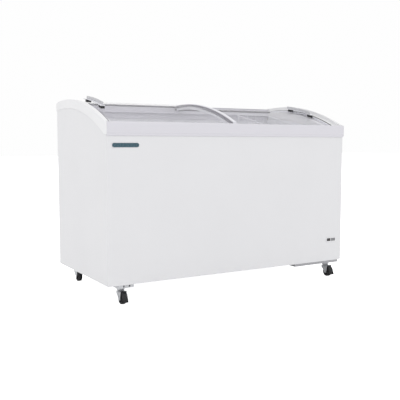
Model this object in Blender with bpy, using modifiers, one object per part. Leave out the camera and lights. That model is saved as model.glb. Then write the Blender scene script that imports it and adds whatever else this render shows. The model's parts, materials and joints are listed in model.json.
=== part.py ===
"""Display chest freezer with two curved sliding glass lids, on four swivel casters.

Metres, +Z up. X runs along the front, the front faces -Y, and the origin is on the
floor under the middle of the cabinet. Every curved piece of the top follows circles
about one line parallel to X, so a lid, its trims and the end caps stay concentric.
"""

import math

import bmesh
import bpy
from mathutils import Matrix, Vector

# Cabinet
WIDTH = 1.310
DEPTH = 0.636
UNDERSIDE = 0.092  # height of the cabinet's lower edge above the floor
FRONT = -0.3180  # the front panel's outer face
HALF = WIDTH / 2
BACK = FRONT + DEPTH
SHEET = 0.001
GAP = 0.0003  # between faces that touch
WALL = 0.062  # outer face of the cabinet to the liner's inner face
FOLD_R = 0.006  # bend of the wrap at the two front corners

# Circles of the curved top, all about (CURVE_Y, CURVE_Z)
CURVE_Y = FRONT + 0.510
CURVE_Z = UNDERSIDE - 0.330
CAP_R = 1.144
SKIRT_R = 1.000
SKIRT_Z = UNDERSIDE - 0.228
WRAP_R = 1.124
FOAM_R = 1.090
LEDGE_R = 1.112
LINER_R = 1.072
LID_THICK = 0.011
GLASS_THICK = 0.005
UPPER_R = 1.1395
LOWER_R = 1.1245
ARC_STEPS = 20

# Tub and machine compartment
TUB_X = HALF - WALL
TUB_Y0 = FRONT + WALL
TUB_Y1 = BACK - WALL
TUB_FLOOR = UNDERSIDE + WALL
STEP_X = 0.315
STEP_Z = 0.402
BAY_X = 0.360
BAY_TOP = 0.357
ABOVE = 1.2  # higher than everything

# Top frame
CAP_W = 0.030
CAP_OUT = 0.003
CROWN_W = 0.014  # the full-height part of a cap's width; the rest is a lower shelf
SHELF_R = 1.126
NOSE_IN = 0.001  # only a cap's outer flange passes the ends of the front rail
LEDGE_ROOT = 0.004  # how far a cap's ledge reaches into its band
BACK_PANEL_TOP = UNDERSIDE + 0.790
RAIL_HALF = HALF - CAP_W - GAP
FRONT_RAIL_HALF = HALF - NOSE_IN - GAP
LIP = 0.005  # how far the front rail stands proud of the front panel
REAR_LIP = 0.005

# Lids
LEFT_END = 0.0165  # outer end of a lid's glass and trim to the cabinet's side
RIGHT_END = 0.0325
RUNNER_END = 0.036
LID_LAP = 0.012  # each lid passes the middle by this much
END_TRIM_W = 0.008
LAP_TRIM_W = 0.024
UPPER_SPAN = (FRONT + 0.0308, FRONT + 0.5962)  # a lid's glass and trims, between its runners
LOWER_SPAN = (FRONT + 0.0498, FRONT + 0.5762)
# Runners' sections (y0, z0, y1, z1), counted from the front panel and the underside
UPPER_RUNNERS = ((0.0175, 0.6803, 0.0305, 0.6985), (0.5965, 0.7873, 0.6095, 0.8055))
LOWER_RUNNERS = ((0.0370, 0.6803, 0.0495, 0.6905), (0.5765, 0.7723, 0.5885, 0.7905))
HANDLE_X0, HANDLE_X1 = 0.048, 0.070  # from the cabinet's side
HANDLE_Y0 = FRONT + 0.181
HANDLE_Y1 = FRONT + 0.391
HANDLE_BASE = 0.0088  # over the top of the lid's curve
HANDLE_TALL = 0.0245
FOOT_LONG = 0.046

# Basket
BASKET_X0 = 0.360
BASKET_X1 = 0.576
BASKET_FLOOR = 0.545
BASKET_RIM_FRONT = 0.747
BASKET_RIM_REAR = 0.861
BASKET_WALL = 0.003

# Casters
WHEEL_R = 0.025
WHEEL_W = 0.021
TRAIL = 0.018
CASTER_TOP = 0.076
RACE_Z = 0.0675
CASTERS = {
    "front_left": (-0.572, FRONT + 0.060),
    "front_right": (0.602, FRONT + 0.060),
    "rear_left": (-0.572, FRONT + 0.608),
    "rear_right": (0.602, FRONT + 0.608),
}
CHEEK_OUT = 0.0155
CHEEK_IN = 0.0135
PEDAL_PIVOT = (-0.027, 0.0550)

# Drain, vents and covers
DRAIN_AT = (-0.500, -0.180)
DRAIN_R = 0.0105
VENT_Y0, VENT_Y1 = FRONT + 0.130, FRONT + 0.500
VENT_Z0, VENT_Z1 = UNDERSIDE + 0.045, UNDERSIDE + 0.235
COVER_X0, COVER_X1 = 0.375, 0.645
COVER_Z0, COVER_Z1 = 0.098, 0.352
INLET_X, INLET_Z = 0.600, 0.128

# Machines
TRAY_FLOOR = CASTER_TOP + 0.0025 + GAP
COMPRESSOR_AT = (0.455, 0.170)
FAN_AT = (0.560, FRONT + 0.315, 0.185)

# Controller
PANEL_X0, PANEL_X1 = HALF - 0.1030, HALF - 0.0405
PANEL_Z0, PANEL_Z1 = UNDERSIDE + 0.0985, UNDERSIDE + 0.1195
PANEL_EDGE = 0.0025

# Materials: colour, roughness, metallic
WHITE = ("white_enamel", (0.80, 0.80, 0.81), 0.35, 0.0)
CAP_WHITE = ("cap_plastic", (0.83, 0.83, 0.84), 0.45, 0.0)
RAIL_GREY = ("rail_plastic", (0.70, 0.69, 0.74), 0.40, 0.0)
LINER_WHITE = ("liner", (0.78, 0.78, 0.80), 0.40, 0.0)
FOAM = ("foam", (0.85, 0.74, 0.45), 0.95, 0.0)
ZINC = ("zinc_steel", (0.62, 0.63, 0.64), 0.38, 1.0)
ALUMINIUM = ("aluminium", (0.74, 0.74, 0.77), 0.30, 1.0)
BLACK = ("black_plastic", (0.02, 0.02, 0.02), 0.50, 0.0)
GREY = ("handle_grey", (0.55, 0.55, 0.58), 0.45, 0.0)
GLASS = ("glass", (0.80, 0.84, 0.88), 0.02, 0.0)
TREAD = ("wheel_black", (0.015, 0.015, 0.015), 0.60, 0.0)
WIRE = ("white_wire", (0.86, 0.86, 0.88), 0.40, 0.0)
COPPER = ("copper", (0.72, 0.40, 0.25), 0.30, 1.0)
BUTTON = ("button_grey", (0.35, 0.35, 0.37), 0.50, 0.0)
BADGE = ("badge", (0.03, 0.10, 0.14), 0.30, 0.0)
STOVED = ("compressor_black", (0.02, 0.02, 0.02), 0.40, 0.0)


# ---------------------------------------------------------------- scene helpers


def clear_scene():
    for obj in list(bpy.data.objects):
        bpy.data.objects.remove(obj, do_unlink=True)


def new_collection(name):
    group = bpy.data.collections.new(name)
    bpy.context.scene.collection.children.link(group)
    return group


def finish_of(look):
    """The material of a look, made once."""
    name, colour, roughness, metallic = look
    found = bpy.data.materials.get(name)
    if found:
        return found
    made = bpy.data.materials.new(name)
    made.use_nodes = True
    made.diffuse_color = (*colour, 1.0)
    shader = made.node_tree.nodes["Principled BSDF"]
    shader.inputs["Base Color"].default_value = (*colour, 1.0)
    shader.inputs["Roughness"].default_value = roughness
    shader.inputs["Metallic"].default_value = metallic
    return made


def place(name, mesh, look):
    """An object of this mesh among the parts or, with no look, among the cutters."""
    obj = bpy.data.objects.new(name, mesh)
    if look is None:
        obj.hide_render = True
        obj.display_type = "WIRE"
        cutters.objects.link(obj)
    else:
        mesh.materials.clear()
        mesh.materials.append(finish_of(look))
        parts.objects.link(obj)
    return obj


def solid_box(name, low, high, look=None):
    """A box between two corners, with its origin at its centre."""
    low, high = Vector(low), Vector(high)
    bm = bmesh.new()
    bmesh.ops.create_cube(bm, size=1.0, matrix=Matrix.Diagonal((*(high - low), 1.0)))
    mesh = bpy.data.meshes.new(name)
    bm.to_mesh(mesh)
    bm.free()
    obj = place(name, mesh, look)
    obj.location = (low + high) / 2
    return obj


AXES = {
    "X": Matrix(((0, 0, 1, 0), (1, 0, 0, 0), (0, 1, 0, 0), (0, 0, 0, 1))),
    "Y": Matrix(((1, 0, 0, 0), (0, 0, -1, 0), (0, 1, 0, 0), (0, 0, 0, 1))),
    "Z": Matrix.Identity(4),
}


def mesh_of_curve(curve_obj):
    """The evaluated curve as a welded mesh in world space; the curve is removed."""
    bpy.context.view_layer.update()
    graph = bpy.context.evaluated_depsgraph_get()
    mesh = bpy.data.meshes.new_from_object(curve_obj.evaluated_get(graph))
    mesh.transform(curve_obj.matrix_world)
    bpy.data.objects.remove(curve_obj)
    bm = bmesh.new()
    bm.from_mesh(mesh)
    bmesh.ops.remove_doubles(bm, verts=bm.verts, dist=1e-6)
    bmesh.ops.recalc_face_normals(bm, faces=bm.faces)
    bm.to_mesh(mesh)
    bm.free()
    return mesh


def plate(name, outline, low, high, axis, look=None):
    """A flat outline, given in the plane across the axis, as a solid between two places.

    The outline's coordinates are (y, z) across X, (x, z) across Y and (x, y) across Z.
    """
    curve = bpy.data.curves.new(name, "CURVE")
    curve.dimensions = "2D"
    curve.fill_mode = "BOTH"
    curve.extrude = (high - low) / 2
    spline = curve.splines.new("POLY")
    spline.points.add(len(outline) - 1)
    for point, (u, v) in zip(spline.points, outline):
        point.co = (u, v, 0.0, 1.0)
    spline.use_cyclic_u = True
    obj = bpy.data.objects.new(name, curve)
    bpy.context.scene.collection.objects.link(obj)
    middle = (low + high) / 2
    offset = {"X": (middle, 0, 0), "Y": (0, middle, 0), "Z": (0, 0, middle)}[axis]
    obj.matrix_world = Matrix.Translation(offset) @ AXES[axis]
    return place(name, mesh_of_curve(obj), look)


def turned(name, profile, centre, axis, look=None, steps=32):
    """A profile of (radius, height) pairs turned about an axis through the centre."""
    bm = bmesh.new()
    points = [bm.verts.new((radius, 0.0, height)) for radius, height in profile]
    for first, second in zip(points, points[1:]):
        bm.edges.new((first, second))
    if profile[0][0] > 0:
        bm.edges.new((points[-1], points[0]))
    mesh = bpy.data.meshes.new(name)
    bm.to_mesh(mesh)
    bm.free()
    obj = place(name, mesh, look)
    screw = obj.modifiers.new("Turn", "SCREW")
    screw.steps = screw.render_steps = steps
    screw.use_merge_vertices = True
    screw.merge_threshold = 0.0001
    screw.use_smooth_shade = False
    turn = {"X": Matrix.Rotation(math.pi / 2, 4, "Y"), "Y": Matrix.Rotation(-math.pi / 2, 4, "X")}
    obj.matrix_world = Matrix.Translation(centre) @ turn.get(axis, Matrix.Identity(4))
    return obj


def rod(name, radius, start, length, axis, look=None, steps=16):
    """A round bar from a start point along +axis."""
    return turned(name, [(0, length), (radius, length), (radius, 0), (0, 0)], start, axis, look, steps)


def change(obj, other, operation):
    """One Boolean on an object, kept as a modifier."""
    step = obj.modifiers.new(operation.title(), "BOOLEAN")
    step.operation = operation
    step.solver = "EXACT"
    step.object = other


def cut(obj, *others):
    for other in others:
        change(obj, other, "DIFFERENCE")
    return obj


def join(obj, *others):
    for other in others:
        change(obj, other, "UNION")
    return obj


def round_edges(obj, chosen, width, segments=2):
    """Bevels the sharp edges for which chosen(first, second) holds."""
    bm = bmesh.new()
    bm.from_mesh(obj.data)
    edges = []
    for edge in bm.edges:
        if edge.calc_face_angle(0.0) > math.radians(40) and chosen(*(v.co for v in edge.verts)):
            edges.append(edge)
    bmesh.ops.bevel(bm, geom=edges, offset=width, segments=segments, profile=0.5, affect="EDGES")
    bm.to_mesh(obj.data)
    bm.free()
    return obj


def arc(radius, y0, y1, centre_z=CURVE_Z, steps=ARC_STEPS):
    """Points (y, z) along a circle of the curved top, from y0 to y1."""
    ys = [y0 + (y1 - y0) * i / steps for i in range(steps + 1)]
    return [(y, centre_z + math.sqrt(radius**2 - (y - CURVE_Y) ** 2)) for y in ys]


def arc_strip(name, low_r, high_r, y0, y1, x0, x1, look=None, steps=ARC_STEPS):
    """A strip between two circles of the curved top."""
    outline = arc(low_r, y0, y1, steps=steps) + arc(high_r, y1, y0, steps=steps)
    return plate(name, outline, x0, x1, "X", look)


def above(name, radius, half_x, y0=FRONT - 0.1, y1=BACK + 0.1):
    """A cutter for everything above a circle of the curved top."""
    outline = arc(radius, y0, y1) + [(y1, ABOVE), (y0, ABOVE)]
    return plate(name, outline, -half_x, half_x, "X")


def from_front(*pairs):
    """Outline points whose y is counted from the front panel and z from the underside."""
    return [(FRONT + y, UNDERSIDE + z) for y, z in pairs]


# ---------------------------------------------------------------- cabinet


def wrap_plan(grow):
    """The wrap seen from above, thicker all round by grow."""
    outer, inner = [], []
    for path, radius, inset in ((outer, FOLD_R + grow, -grow), (inner, FOLD_R - SHEET - grow, SHEET + grow)):
        path.append((-HALF + inset, BACK + grow))
        for side, start in ((-1, math.pi), (1, 1.5 * math.pi)):
            centre = (side * (HALF - FOLD_R), FRONT + FOLD_R)
            for i in range(5):
                turn = start + i * math.pi / 8
                path.append((centre[0] + radius * math.cos(turn), centre[1] + radius * math.sin(turn)))
        path.append((HALF - inset, BACK + grow))
    return outer + inner[::-1]


def make_wrap():
    """One folded sheet: the front and both sides, with two window openings."""
    wrap = plate("outer_wrap", wrap_plan(0.0), UNDERSIDE, ABOVE - 0.1, "Z", WHITE)
    grille = solid_box("cut_grille", (HALF - 0.01, VENT_Y0, VENT_Z0), (HALF + 0.01, VENT_Y1, VENT_Z1))
    display = solid_box(
        "cut_display",
        (PANEL_X0 + PANEL_EDGE, FRONT - 0.01, PANEL_Z0 + PANEL_EDGE),
        (PANEL_X1 - PANEL_EDGE, FRONT + 0.01, PANEL_Z1 - PANEL_EDGE),
    )
    return cut(wrap, above("cut_wrap_top", WRAP_R, 0.8), grille, display)


def make_back_panel():
    edge = HALF - SHEET - GAP
    panel = solid_box("back_panel", (-edge, BACK - SHEET, UNDERSIDE), (edge, BACK, BACK_PANEL_TOP), WHITE)
    hole = solid_box("cut_service", (COVER_X0 + 0.01, BACK - 0.01, COVER_Z0 + 0.01),
                     (COVER_X1 - 0.01, BACK + 0.01, COVER_Z1 - 0.01))
    return cut(panel, hole)


def make_bottom_pan():
    edge = SHEET + GAP
    pan = solid_box("bottom_pan", (-HALF + edge, FRONT + edge, UNDERSIDE),
                    (BAY_X - 0.005, BACK - edge, UNDERSIDE + SHEET), ZINC)
    drain = rod("cut_pan_drain", DRAIN_R + 0.001, (*DRAIN_AT, 0.05), 0.1, "Z")
    return cut(pan, drain, fold_relief("pan", -1))


def tub_block(name, grow, look=None):
    """The tub's space, with the step over the machine compartment, larger all round by grow."""
    outline = [
        (-TUB_X - grow, TUB_FLOOR - grow),
        (STEP_X + grow, TUB_FLOOR - grow),
        (STEP_X + grow, STEP_Z - grow),
        (TUB_X + grow, STEP_Z - grow),
        (TUB_X + grow, ABOVE - 0.1),
        (-TUB_X - grow, ABOVE - 0.1),
    ]
    return plate(name, outline, TUB_Y0 - grow, TUB_Y1 + grow, "Y", look)


def make_foam():
    edge = SHEET + GAP
    foam = solid_box("foam_insulation", (-HALF + edge, FRONT + edge, UNDERSIDE + edge),
                     (HALF - edge, BACK - edge, ABOVE), FOAM)
    bay = solid_box("cut_bay", (BAY_X, FRONT - 0.1, 0.0), (HALF + 0.1, BACK + 0.1, BAY_TOP))
    drain = rod("cut_foam_drain", DRAIN_R + 0.001, (*DRAIN_AT, 0.05), 0.2, "Z")
    tub = tub_block("cut_foam_tub", SHEET + GAP)
    ends = above("cut_foam_top", FOAM_R, 0.8)
    middle = above("cut_foam_middle", LINER_R - 0.0005, HALF - CAP_W + LEDGE_ROOT + GAP)
    corners = [fold_relief("foam", side) for side in (-1, 1)]
    return cut(foam, tub, bay, drain, ends, middle, *corners)


def fold_relief(name, side):
    """What the wrap's round front corner takes from a square one inside it."""
    inner = FOLD_R - SHEET - GAP
    centre = (side * (HALF - FOLD_R), FRONT + FOLD_R)
    far = (side * (HALF + 0.01), FRONT - 0.01)
    curve = [(centre[0] + side * inner * math.cos(t), centre[1] - inner * math.sin(t))
             for t in [i * math.pi / 8 for i in range(5)]]
    outline = curve + [(centre[0], far[1]), far, (far[0], centre[1])]
    return plate(f"cut_{name}_fold_{'left' if side < 0 else 'right'}", outline, 0.0, ABOVE, "Z")


def make_liner():
    liner = tub_block("inner_liner", SHEET, LINER_WHITE)
    drain = rod("cut_liner_drain", DRAIN_R + 0.001, (*DRAIN_AT, 0.05), 0.2, "Z")
    return cut(liner, tub_block("cut_liner", 0.0), above("cut_liner_top", LINER_R, 0.8), drain)


def make_drain():
    """The drain tube through the floor, and the plug that closes it inside the tub."""
    low, top = UNDERSIDE - 0.006, TUB_FLOOR + GAP
    turned("drain_tube", [(0.018, top + 0.002), (0.018, top), (DRAIN_R, top), (DRAIN_R, low),
                          (0.0085, low), (0.0085, top + 0.002)], (*DRAIN_AT, 0), "Z", CAP_WHITE, 24)
    stem = top + 0.0023
    turned("drain_plug", [(0, stem + 0.010), (0.010, stem + 0.010), (0.014, stem + 0.006), (0.014, stem),
                          (0.0078, stem), (0.0070, stem - 0.018), (0, stem - 0.018)],
           (*DRAIN_AT, 0), "Z", BLACK, 24)


# ---------------------------------------------------------------- top frame


def make_front_rail():
    """The outer rail hooks over the front panel's top edge."""
    outline = from_front(
        (-LIP + 0.0015, 0.638), (-LIP + 0.0015, 0.648), (-LIP, 0.650), (-LIP, 0.690), (-0.0035, 0.6945),
        (0.001, 0.6965), (0.012, 0.6965), (0.012, 0.6775), (0.009, 0.6775), (0.009, 0.6935),
        (0.0005, 0.6935), (-0.002, 0.690), (-0.002, 0.641), (-0.0004, 0.641), (-0.0004, 0.638),
    )
    return plate("front_rail", outline, -FRONT_RAIL_HALF, FRONT_RAIL_HALF, "X", RAIL_GREY)


def drop_relief(name, y0, y1, top):
    """What the end walls take from a track's drop, which hangs inside the tub only."""
    reach = TUB_X - 0.0005
    return [solid_box(f"cut_{name}_drop_{i}", (min(x), y0, 0.5), (max(x), y1, top))
            for i, x in enumerate(((-HALF, -reach), (reach, HALF)))]


def make_front_track():
    """Two grooves for the lids' front runners, and a drop that hides the liner's edge."""
    outline = from_front(
        (0.0125, 0.645), (0.0125, 0.694), (0.0155, 0.694), (0.0155, 0.680), (0.0325, 0.680),
        (0.0325, 0.688), (0.0350, 0.688), (0.0350, 0.680), (0.0515, 0.680), (0.0515, 0.6825),
        (0.0540, 0.6825), (0.0540, 0.680), (0.0655, 0.680), (0.0655, 0.652), (0.0755, 0.652),
        (0.0755, 0.650), (0.0655, 0.650), (0.0655, 0.632), (0.0625, 0.632), (0.0625, 0.677),
        (0.0155, 0.677), (0.0155, 0.645),
    )
    track = plate("front_lid_track", outline, -RAIL_HALF, RAIL_HALF, "X", RAIL_GREY)
    return cut(track, *drop_relief("front", FRONT + 0.056, FRONT + 0.090, UNDERSIDE + 0.6765))


def make_rear_track():
    outline = from_front(
        (0.5705, 0.735), (0.5705, 0.764), (0.5605, 0.764), (0.5605, 0.766), (0.5705, 0.766),
        (0.5705, 0.777), (0.5735, 0.777), (0.5735, 0.772), (0.5915, 0.772), (0.5915, 0.7935),
        (0.5945, 0.7935), (0.5945, 0.787), (0.6115, 0.787), (0.6115, 0.8030), (0.6145, 0.8030),
        (0.6145, 0.787), (0.6340, 0.787), (0.6340, 0.742), (0.6310, 0.742), (0.6310, 0.784),
        (0.5945, 0.784), (0.5945, 0.769), (0.5735, 0.769), (0.5735, 0.735),
    )
    track = plate("rear_lid_track", outline, -RAIL_HALF, RAIL_HALF, "X", RAIL_GREY)
    return cut(track, *drop_relief("rear", FRONT + 0.550, FRONT + 0.5740, UNDERSIDE + 0.7685))


def make_rear_rail():
    back = DEPTH + REAR_LIP
    outline = from_front(
        (DEPTH + 0.0004, 0.764), (back, 0.764), (back, 0.794), (back - 0.0025, 0.8015),
        (back - 0.009, 0.806), (0.612, 0.806), (0.612, 0.8038), (0.6313, 0.8038), (0.6366, 0.8001),
        (0.6388, 0.7935), (0.6388, 0.7662), (DEPTH + 0.0004, 0.7662),
    )
    return plate("rear_rail", outline, -RAIL_HALF, RAIL_HALF, "X", RAIL_GREY)


def make_end_cap(side):
    """A moulded band over the side panel's curved top, with a shelf and a ledge inside it."""
    name = "left" if side < 0 else "right"
    nose = from_front((-LIP, 0.642), (-LIP, 0.690), (-0.0035, 0.6945), (0.001, 0.6970))
    back = DEPTH + REAR_LIP
    tail = from_front((0.626, 0.8065), (0.636, 0.802), (back, 0.792), (back, 0.764))
    crown = arc(CAP_R, FRONT + 0.010, FRONT + 0.605)
    skirt = arc(SKIRT_R, FRONT + 0.632, FRONT + 0.018, SKIRT_Z)
    outer = side * (HALF + CAP_OUT)
    reach = sorted((outer, side * (HALF - CAP_W)))
    cap = plate(f"{name}_end_cap", nose + crown + tail + skirt, *reach, "X", CAP_WHITE)
    round_edges(cap, lambda a, b: abs(a.x - outer) < 1e-5 and abs(b.x - outer) < 1e-5, 0.0028)
    rail_room = solid_box(f"cut_{name}_nose", (min(side * (HALF - NOSE_IN), side * 0.5), FRONT - 0.1, 0.5),
                          (max(side * (HALF - NOSE_IN), side * 0.5), FRONT + 0.0123, ABOVE))
    shelf = above(f"cut_{name}_shelf", SHELF_R, HALF - CROWN_W, y1=FRONT + 0.600)
    sheet_slot = cut(plate(f"cut_{name}_slot", wrap_plan(GAP), 0.5, ABOVE, "Z"),
                     above(f"cut_{name}_slot_top", WRAP_R + GAP, 0.8))
    ledge_x = sorted((side * (HALF - CAP_W + LEDGE_ROOT), side * TUB_X))
    ledge = arc_strip(f"add_{name}_ledge", LINER_R + 0.0005, LEDGE_R,
                      FRONT + 0.0665, FRONT + 0.5600, *ledge_x)
    back_x = sorted((side * (HALF - SHEET), side * (HALF - CAP_W - 0.01)))
    back_slot = solid_box(f"cut_{name}_back", (back_x[0], BACK - SHEET - GAP, 0.5),
                          (back_x[1], BACK + GAP, BACK_PANEL_TOP + GAP))
    return cut(join(cap, ledge), rail_room, shelf, sheet_slot, back_slot)


# ---------------------------------------------------------------- lids


def make_lid(side):
    """A curved glass with a trim along each end and a runner along its front and its rear."""
    name = "left" if side < 0 else "right"
    radius, span = (UPPER_R, UPPER_SPAN) if side < 0 else (LOWER_R, LOWER_SPAN)
    glass_top = radius - 0.003

    def across(near, far):
        """Places counted from the cabinet's side, as an ordered pair of x."""
        return sorted((side * (HALF - near), side * (HALF - far)))

    lap = HALF + LID_LAP
    end = LEFT_END if side < 0 else RIGHT_END
    arc_strip(f"{name}_lid_glass", glass_top - GLASS_THICK, glass_top, *span,
              *across(end + END_TRIM_W + GAP, lap - LAP_TRIM_W - GAP), GLASS)
    arc_strip(f"{name}_lid_lap_trim", radius - LID_THICK, radius, *span,
              *across(lap - LAP_TRIM_W, lap), ALUMINIUM)
    arc_strip(f"{name}_lid_end_trim", radius - LID_THICK, radius, *span, *across(end, end + END_TRIM_W), BLACK)
    base = radius + HANDLE_BASE
    for where, y0 in (("front", HANDLE_Y0), ("rear", HANDLE_Y1 - FOOT_LONG)):
        arc_strip(f"{name}_handle_foot_{where}", glass_top + GAP, base - GAP, y0, y0 + FOOT_LONG,
                  *across(HANDLE_X0 + 0.002, HANDLE_X1), BLACK, steps=4)
    flange = arc_strip(f"{name}_lid_handle", base, base + 0.003, HANDLE_Y0, HANDLE_Y1,
                       *across(HANDLE_X0, HANDLE_X1), GREY, steps=10)
    grip = arc_strip(f"add_{name}_grip", base + 0.001, radius + HANDLE_TALL, HANDLE_Y0 + 0.002,
                     HANDLE_Y1 - 0.002, *across(HANDLE_X0 + 0.014, HANDLE_X0 + 0.018), steps=10)

    join(flange, grip)
    front = UPPER_RUNNERS[0] if side < 0 else LOWER_RUNNERS[0]
    rear = UPPER_RUNNERS[1] if side < 0 else LOWER_RUNNERS[1]
    x0, x1 = across(RUNNER_END, lap)
    for where, look, (y0, z0, y1, z1) in (("front", ALUMINIUM, front), ("rear", BLACK, rear)):
        solid_box(f"{name}_lid_{where}_runner", (x0, FRONT + y0, UNDERSIDE + z0),
                  (x1, FRONT + y1, UNDERSIDE + z1), look)


# ---------------------------------------------------------------- basket


def make_basket():
    """An open basket that hangs on the tracks' shelves by a flange at its front and rear."""
    y0, y1 = FRONT + 0.079, FRONT + 0.557
    outline = [(y0, BASKET_FLOOR), (y1, BASKET_FLOOR), (y1, BASKET_RIM_REAR), (y0, BASKET_RIM_FRONT)]
    basket = plate("wire_basket", outline, BASKET_X0, BASKET_X1, "X", WIRE)
    inside = [(y0 + BASKET_WALL, BASKET_FLOOR + BASKET_WALL), (y1 - BASKET_WALL, BASKET_FLOOR + BASKET_WALL),
              (y1 - BASKET_WALL, 1.0), (y0 + BASKET_WALL, 1.0)]
    hollow = plate("cut_basket", inside, BASKET_X0 + BASKET_WALL, BASKET_X1 - BASKET_WALL, "X")
    front_z, rear_z = UNDERSIDE + 0.652 + GAP, UNDERSIDE + 0.766 + GAP
    front = solid_box("add_basket_front", (BASKET_X0, FRONT + 0.0668, front_z),
                      (BASKET_X1, y0 + 0.001, front_z + 0.002))
    rear = solid_box("add_basket_rear", (BASKET_X0, y1 - 0.001, rear_z),
                     (BASKET_X1, FRONT + 0.5692, rear_z + 0.002))
    return join(cut(basket, hollow), front, rear)


# ---------------------------------------------------------------- machine compartment


def make_base_tray():
    low = CASTER_TOP + 0.0005
    y0, y1 = FRONT + 0.012, BACK - 0.012
    x0, x1 = BAY_X + GAP, 0.645
    tray = solid_box("base_tray", (x0, y0, low), (x1, y1, UNDERSIDE + 0.006), ZINC)
    hollow = solid_box("cut_tray", (x0 + 0.002, y0 + 0.002, low + 0.002), (x1 - 0.002, y1 - 0.002, 0.2))
    return cut(tray, hollow)


def make_compressor():
    """A sealed pot on a foot plate with a terminal box."""
    floor = TRAY_FLOOR
    x, y = COMPRESSOR_AT
    profile = [(0, 0.165), (0.045, 0.160), (0.068, 0.140), (0.074, 0.110), (0.074, 0.050),
               (0.066, 0.022), (0.040, 0.010), (0, 0.008)]
    pot = turned("compressor", profile, (x, y, floor), "Z", STOVED, 24)
    foot = solid_box("add_compressor_foot", (x - 0.088, y - 0.055, floor),
                     (x + 0.088, y + 0.055, floor + 0.014))
    box = solid_box("add_compressor_box", (x - 0.025, y - 0.092, floor + 0.050),
                    (x + 0.025, y - 0.050, floor + 0.105))
    return join(pot, foot, box)


def make_condenser():
    """A finned block behind the side vent, standing in the tray."""
    floor = TRAY_FLOOR
    x0, x1, y0, y1 = 0.590, 0.634, VENT_Y0 + 0.02, VENT_Y1 - 0.02
    block = solid_box("condenser", (x0, y0, floor), (x1, y1, floor + 0.215), ALUMINIUM)
    count = 16
    pitch = (y1 - y0 - 0.02) / count
    for i in range(count):
        middle = y0 + 0.01 + (i + 0.5) * pitch
        slot = solid_box(f"cut_fin_{i}", (x0 - 0.01, middle - 0.003, floor + 0.015),
                         (x1 + 0.01, middle + 0.003, floor + 0.190))
        cut(block, slot)
    return block


def make_fan():
    """A motor on a post, and a five-bladed fan on its shaft, blowing through the condenser."""
    floor = TRAY_FLOOR
    x, y, z = FAN_AT
    motor = rod("fan_motor", 0.030, (x - 0.060, y, z), 0.045, "X", STOVED, 24)
    post = solid_box("add_motor_post", (x - 0.052, y - 0.012, floor), (x - 0.040, y + 0.012, z))
    foot = solid_box("add_motor_foot", (x - 0.075, y - 0.030, floor), (x - 0.020, y + 0.030, floor + 0.003))
    bore = rod("cut_motor_bore", 0.0040, (x - 0.030, y, z), 0.05, "X")
    cut(join(motor, post, foot), bore)
    fan = rod("fan_blade", 0.018, (x - 0.010, y, z), 0.024, "X", BLACK, 24)
    join(fan, rod("add_fan_shaft", 0.0030, (x - 0.026, y, z), 0.020, "X"))
    for i in range(5):
        blade = solid_box(f"add_blade_{i}", (-0.0015, -0.019, 0.012), (0.0015, 0.019, 0.078))
        blade.matrix_world = (Matrix.Translation((x, y, z)) @ Matrix.Rotation(i * math.tau / 5, 4, "X")
                              @ Matrix.Rotation(math.radians(28), 4, "Z") @ Matrix.Translation((0, 0, 0.045)))
        join(fan, blade)


def make_pipe():
    """The discharge pipe from the pot to the condenser's top."""
    start = Vector((*COMPRESSOR_AT, TRAY_FLOOR + 0.1692))
    end = Vector((0.612, 0.120, TRAY_FLOOR + 0.2157))
    high = 0.315
    bend = 0.018
    corners = [start, Vector((start.x, start.y, high)), Vector((end.x, end.y, high)), end]
    points = [corners[0]]
    for before, corner, after in zip(corners, corners[1:], corners[2:]):
        into, out = (corner - before).normalized(), (after - corner).normalized()
        for i in range(7):
            t = i / 6
            points.append(corner - into * bend * (1 - t) ** 2 + out * bend * t**2)
    points.append(corners[-1])
    curve = bpy.data.curves.new("discharge_pipe", "CURVE")
    curve.dimensions = "3D"
    curve.bevel_depth = 0.003
    curve.bevel_resolution = 2
    curve.use_fill_caps = True
    spline = curve.splines.new("POLY")
    spline.points.add(len(points) - 1)
    for point, place_at in zip(spline.points, points):
        point.co = (*place_at, 1.0)
    pipe = bpy.data.objects.new("discharge_pipe", curve)
    curve.materials.append(finish_of(COPPER))
    parts.objects.link(pipe)


def make_vent_grille():
    """A louvred plate over the opening in the right-hand side."""
    grille = solid_box("side_vent_grille", (HALF + GAP, VENT_Y0 - 0.010, VENT_Z0 - 0.010),
                       (HALF + 0.0025, VENT_Y1 + 0.010, VENT_Z1 + 0.010), CAP_WHITE)
    return cut(grille, *slots("vent", (HALF - 0.01, VENT_Y0 + 0.010), (HALF + 0.01, VENT_Y1 - 0.010),
                              VENT_Z0 + 0.008, VENT_Z1 - 0.008, 9))


def slots(name, low, high, z0, z1, count):
    """A column of cutters between two heights."""
    pitch = (z1 - z0) / count
    edge = pitch * 0.22
    return [solid_box(f"cut_{name}_{i}", (*low, z0 + i * pitch + edge), (*high, z0 + (i + 1) * pitch - edge))
            for i in range(count)]


def make_service_cover():
    """A louvred plate over the opening in the back, with the hole for the power inlet."""
    cover = solid_box("rear_service_cover", (COVER_X0, BACK + GAP, COVER_Z0),
                      (COVER_X1, BACK + 0.0023, COVER_Z1), ZINC)
    louvres = slots("cover", (COVER_X0 + 0.030, BACK - 0.01), (COVER_X1 - 0.030, BACK + 0.01),
                    0.165, 0.330, 8)
    hole = rod("cut_inlet", 0.0093, (INLET_X, BACK - 0.02, INLET_Z), 0.04, "Y", steps=24)
    return cut(cover, *louvres, hole)


def make_power_inlet():
    """The gland that the mains lead goes through."""
    face = BACK + 0.0023 + GAP
    turned("power_inlet", [(0.0125, 0.0022), (0.0125, 0.0), (0.0090, 0.0), (0.0090, -0.022),
                           (0.0045, -0.022), (0.0045, 0.0022)], (INLET_X, face, INLET_Z), "Y", BLACK, 24)


# ---------------------------------------------------------------- front details


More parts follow.
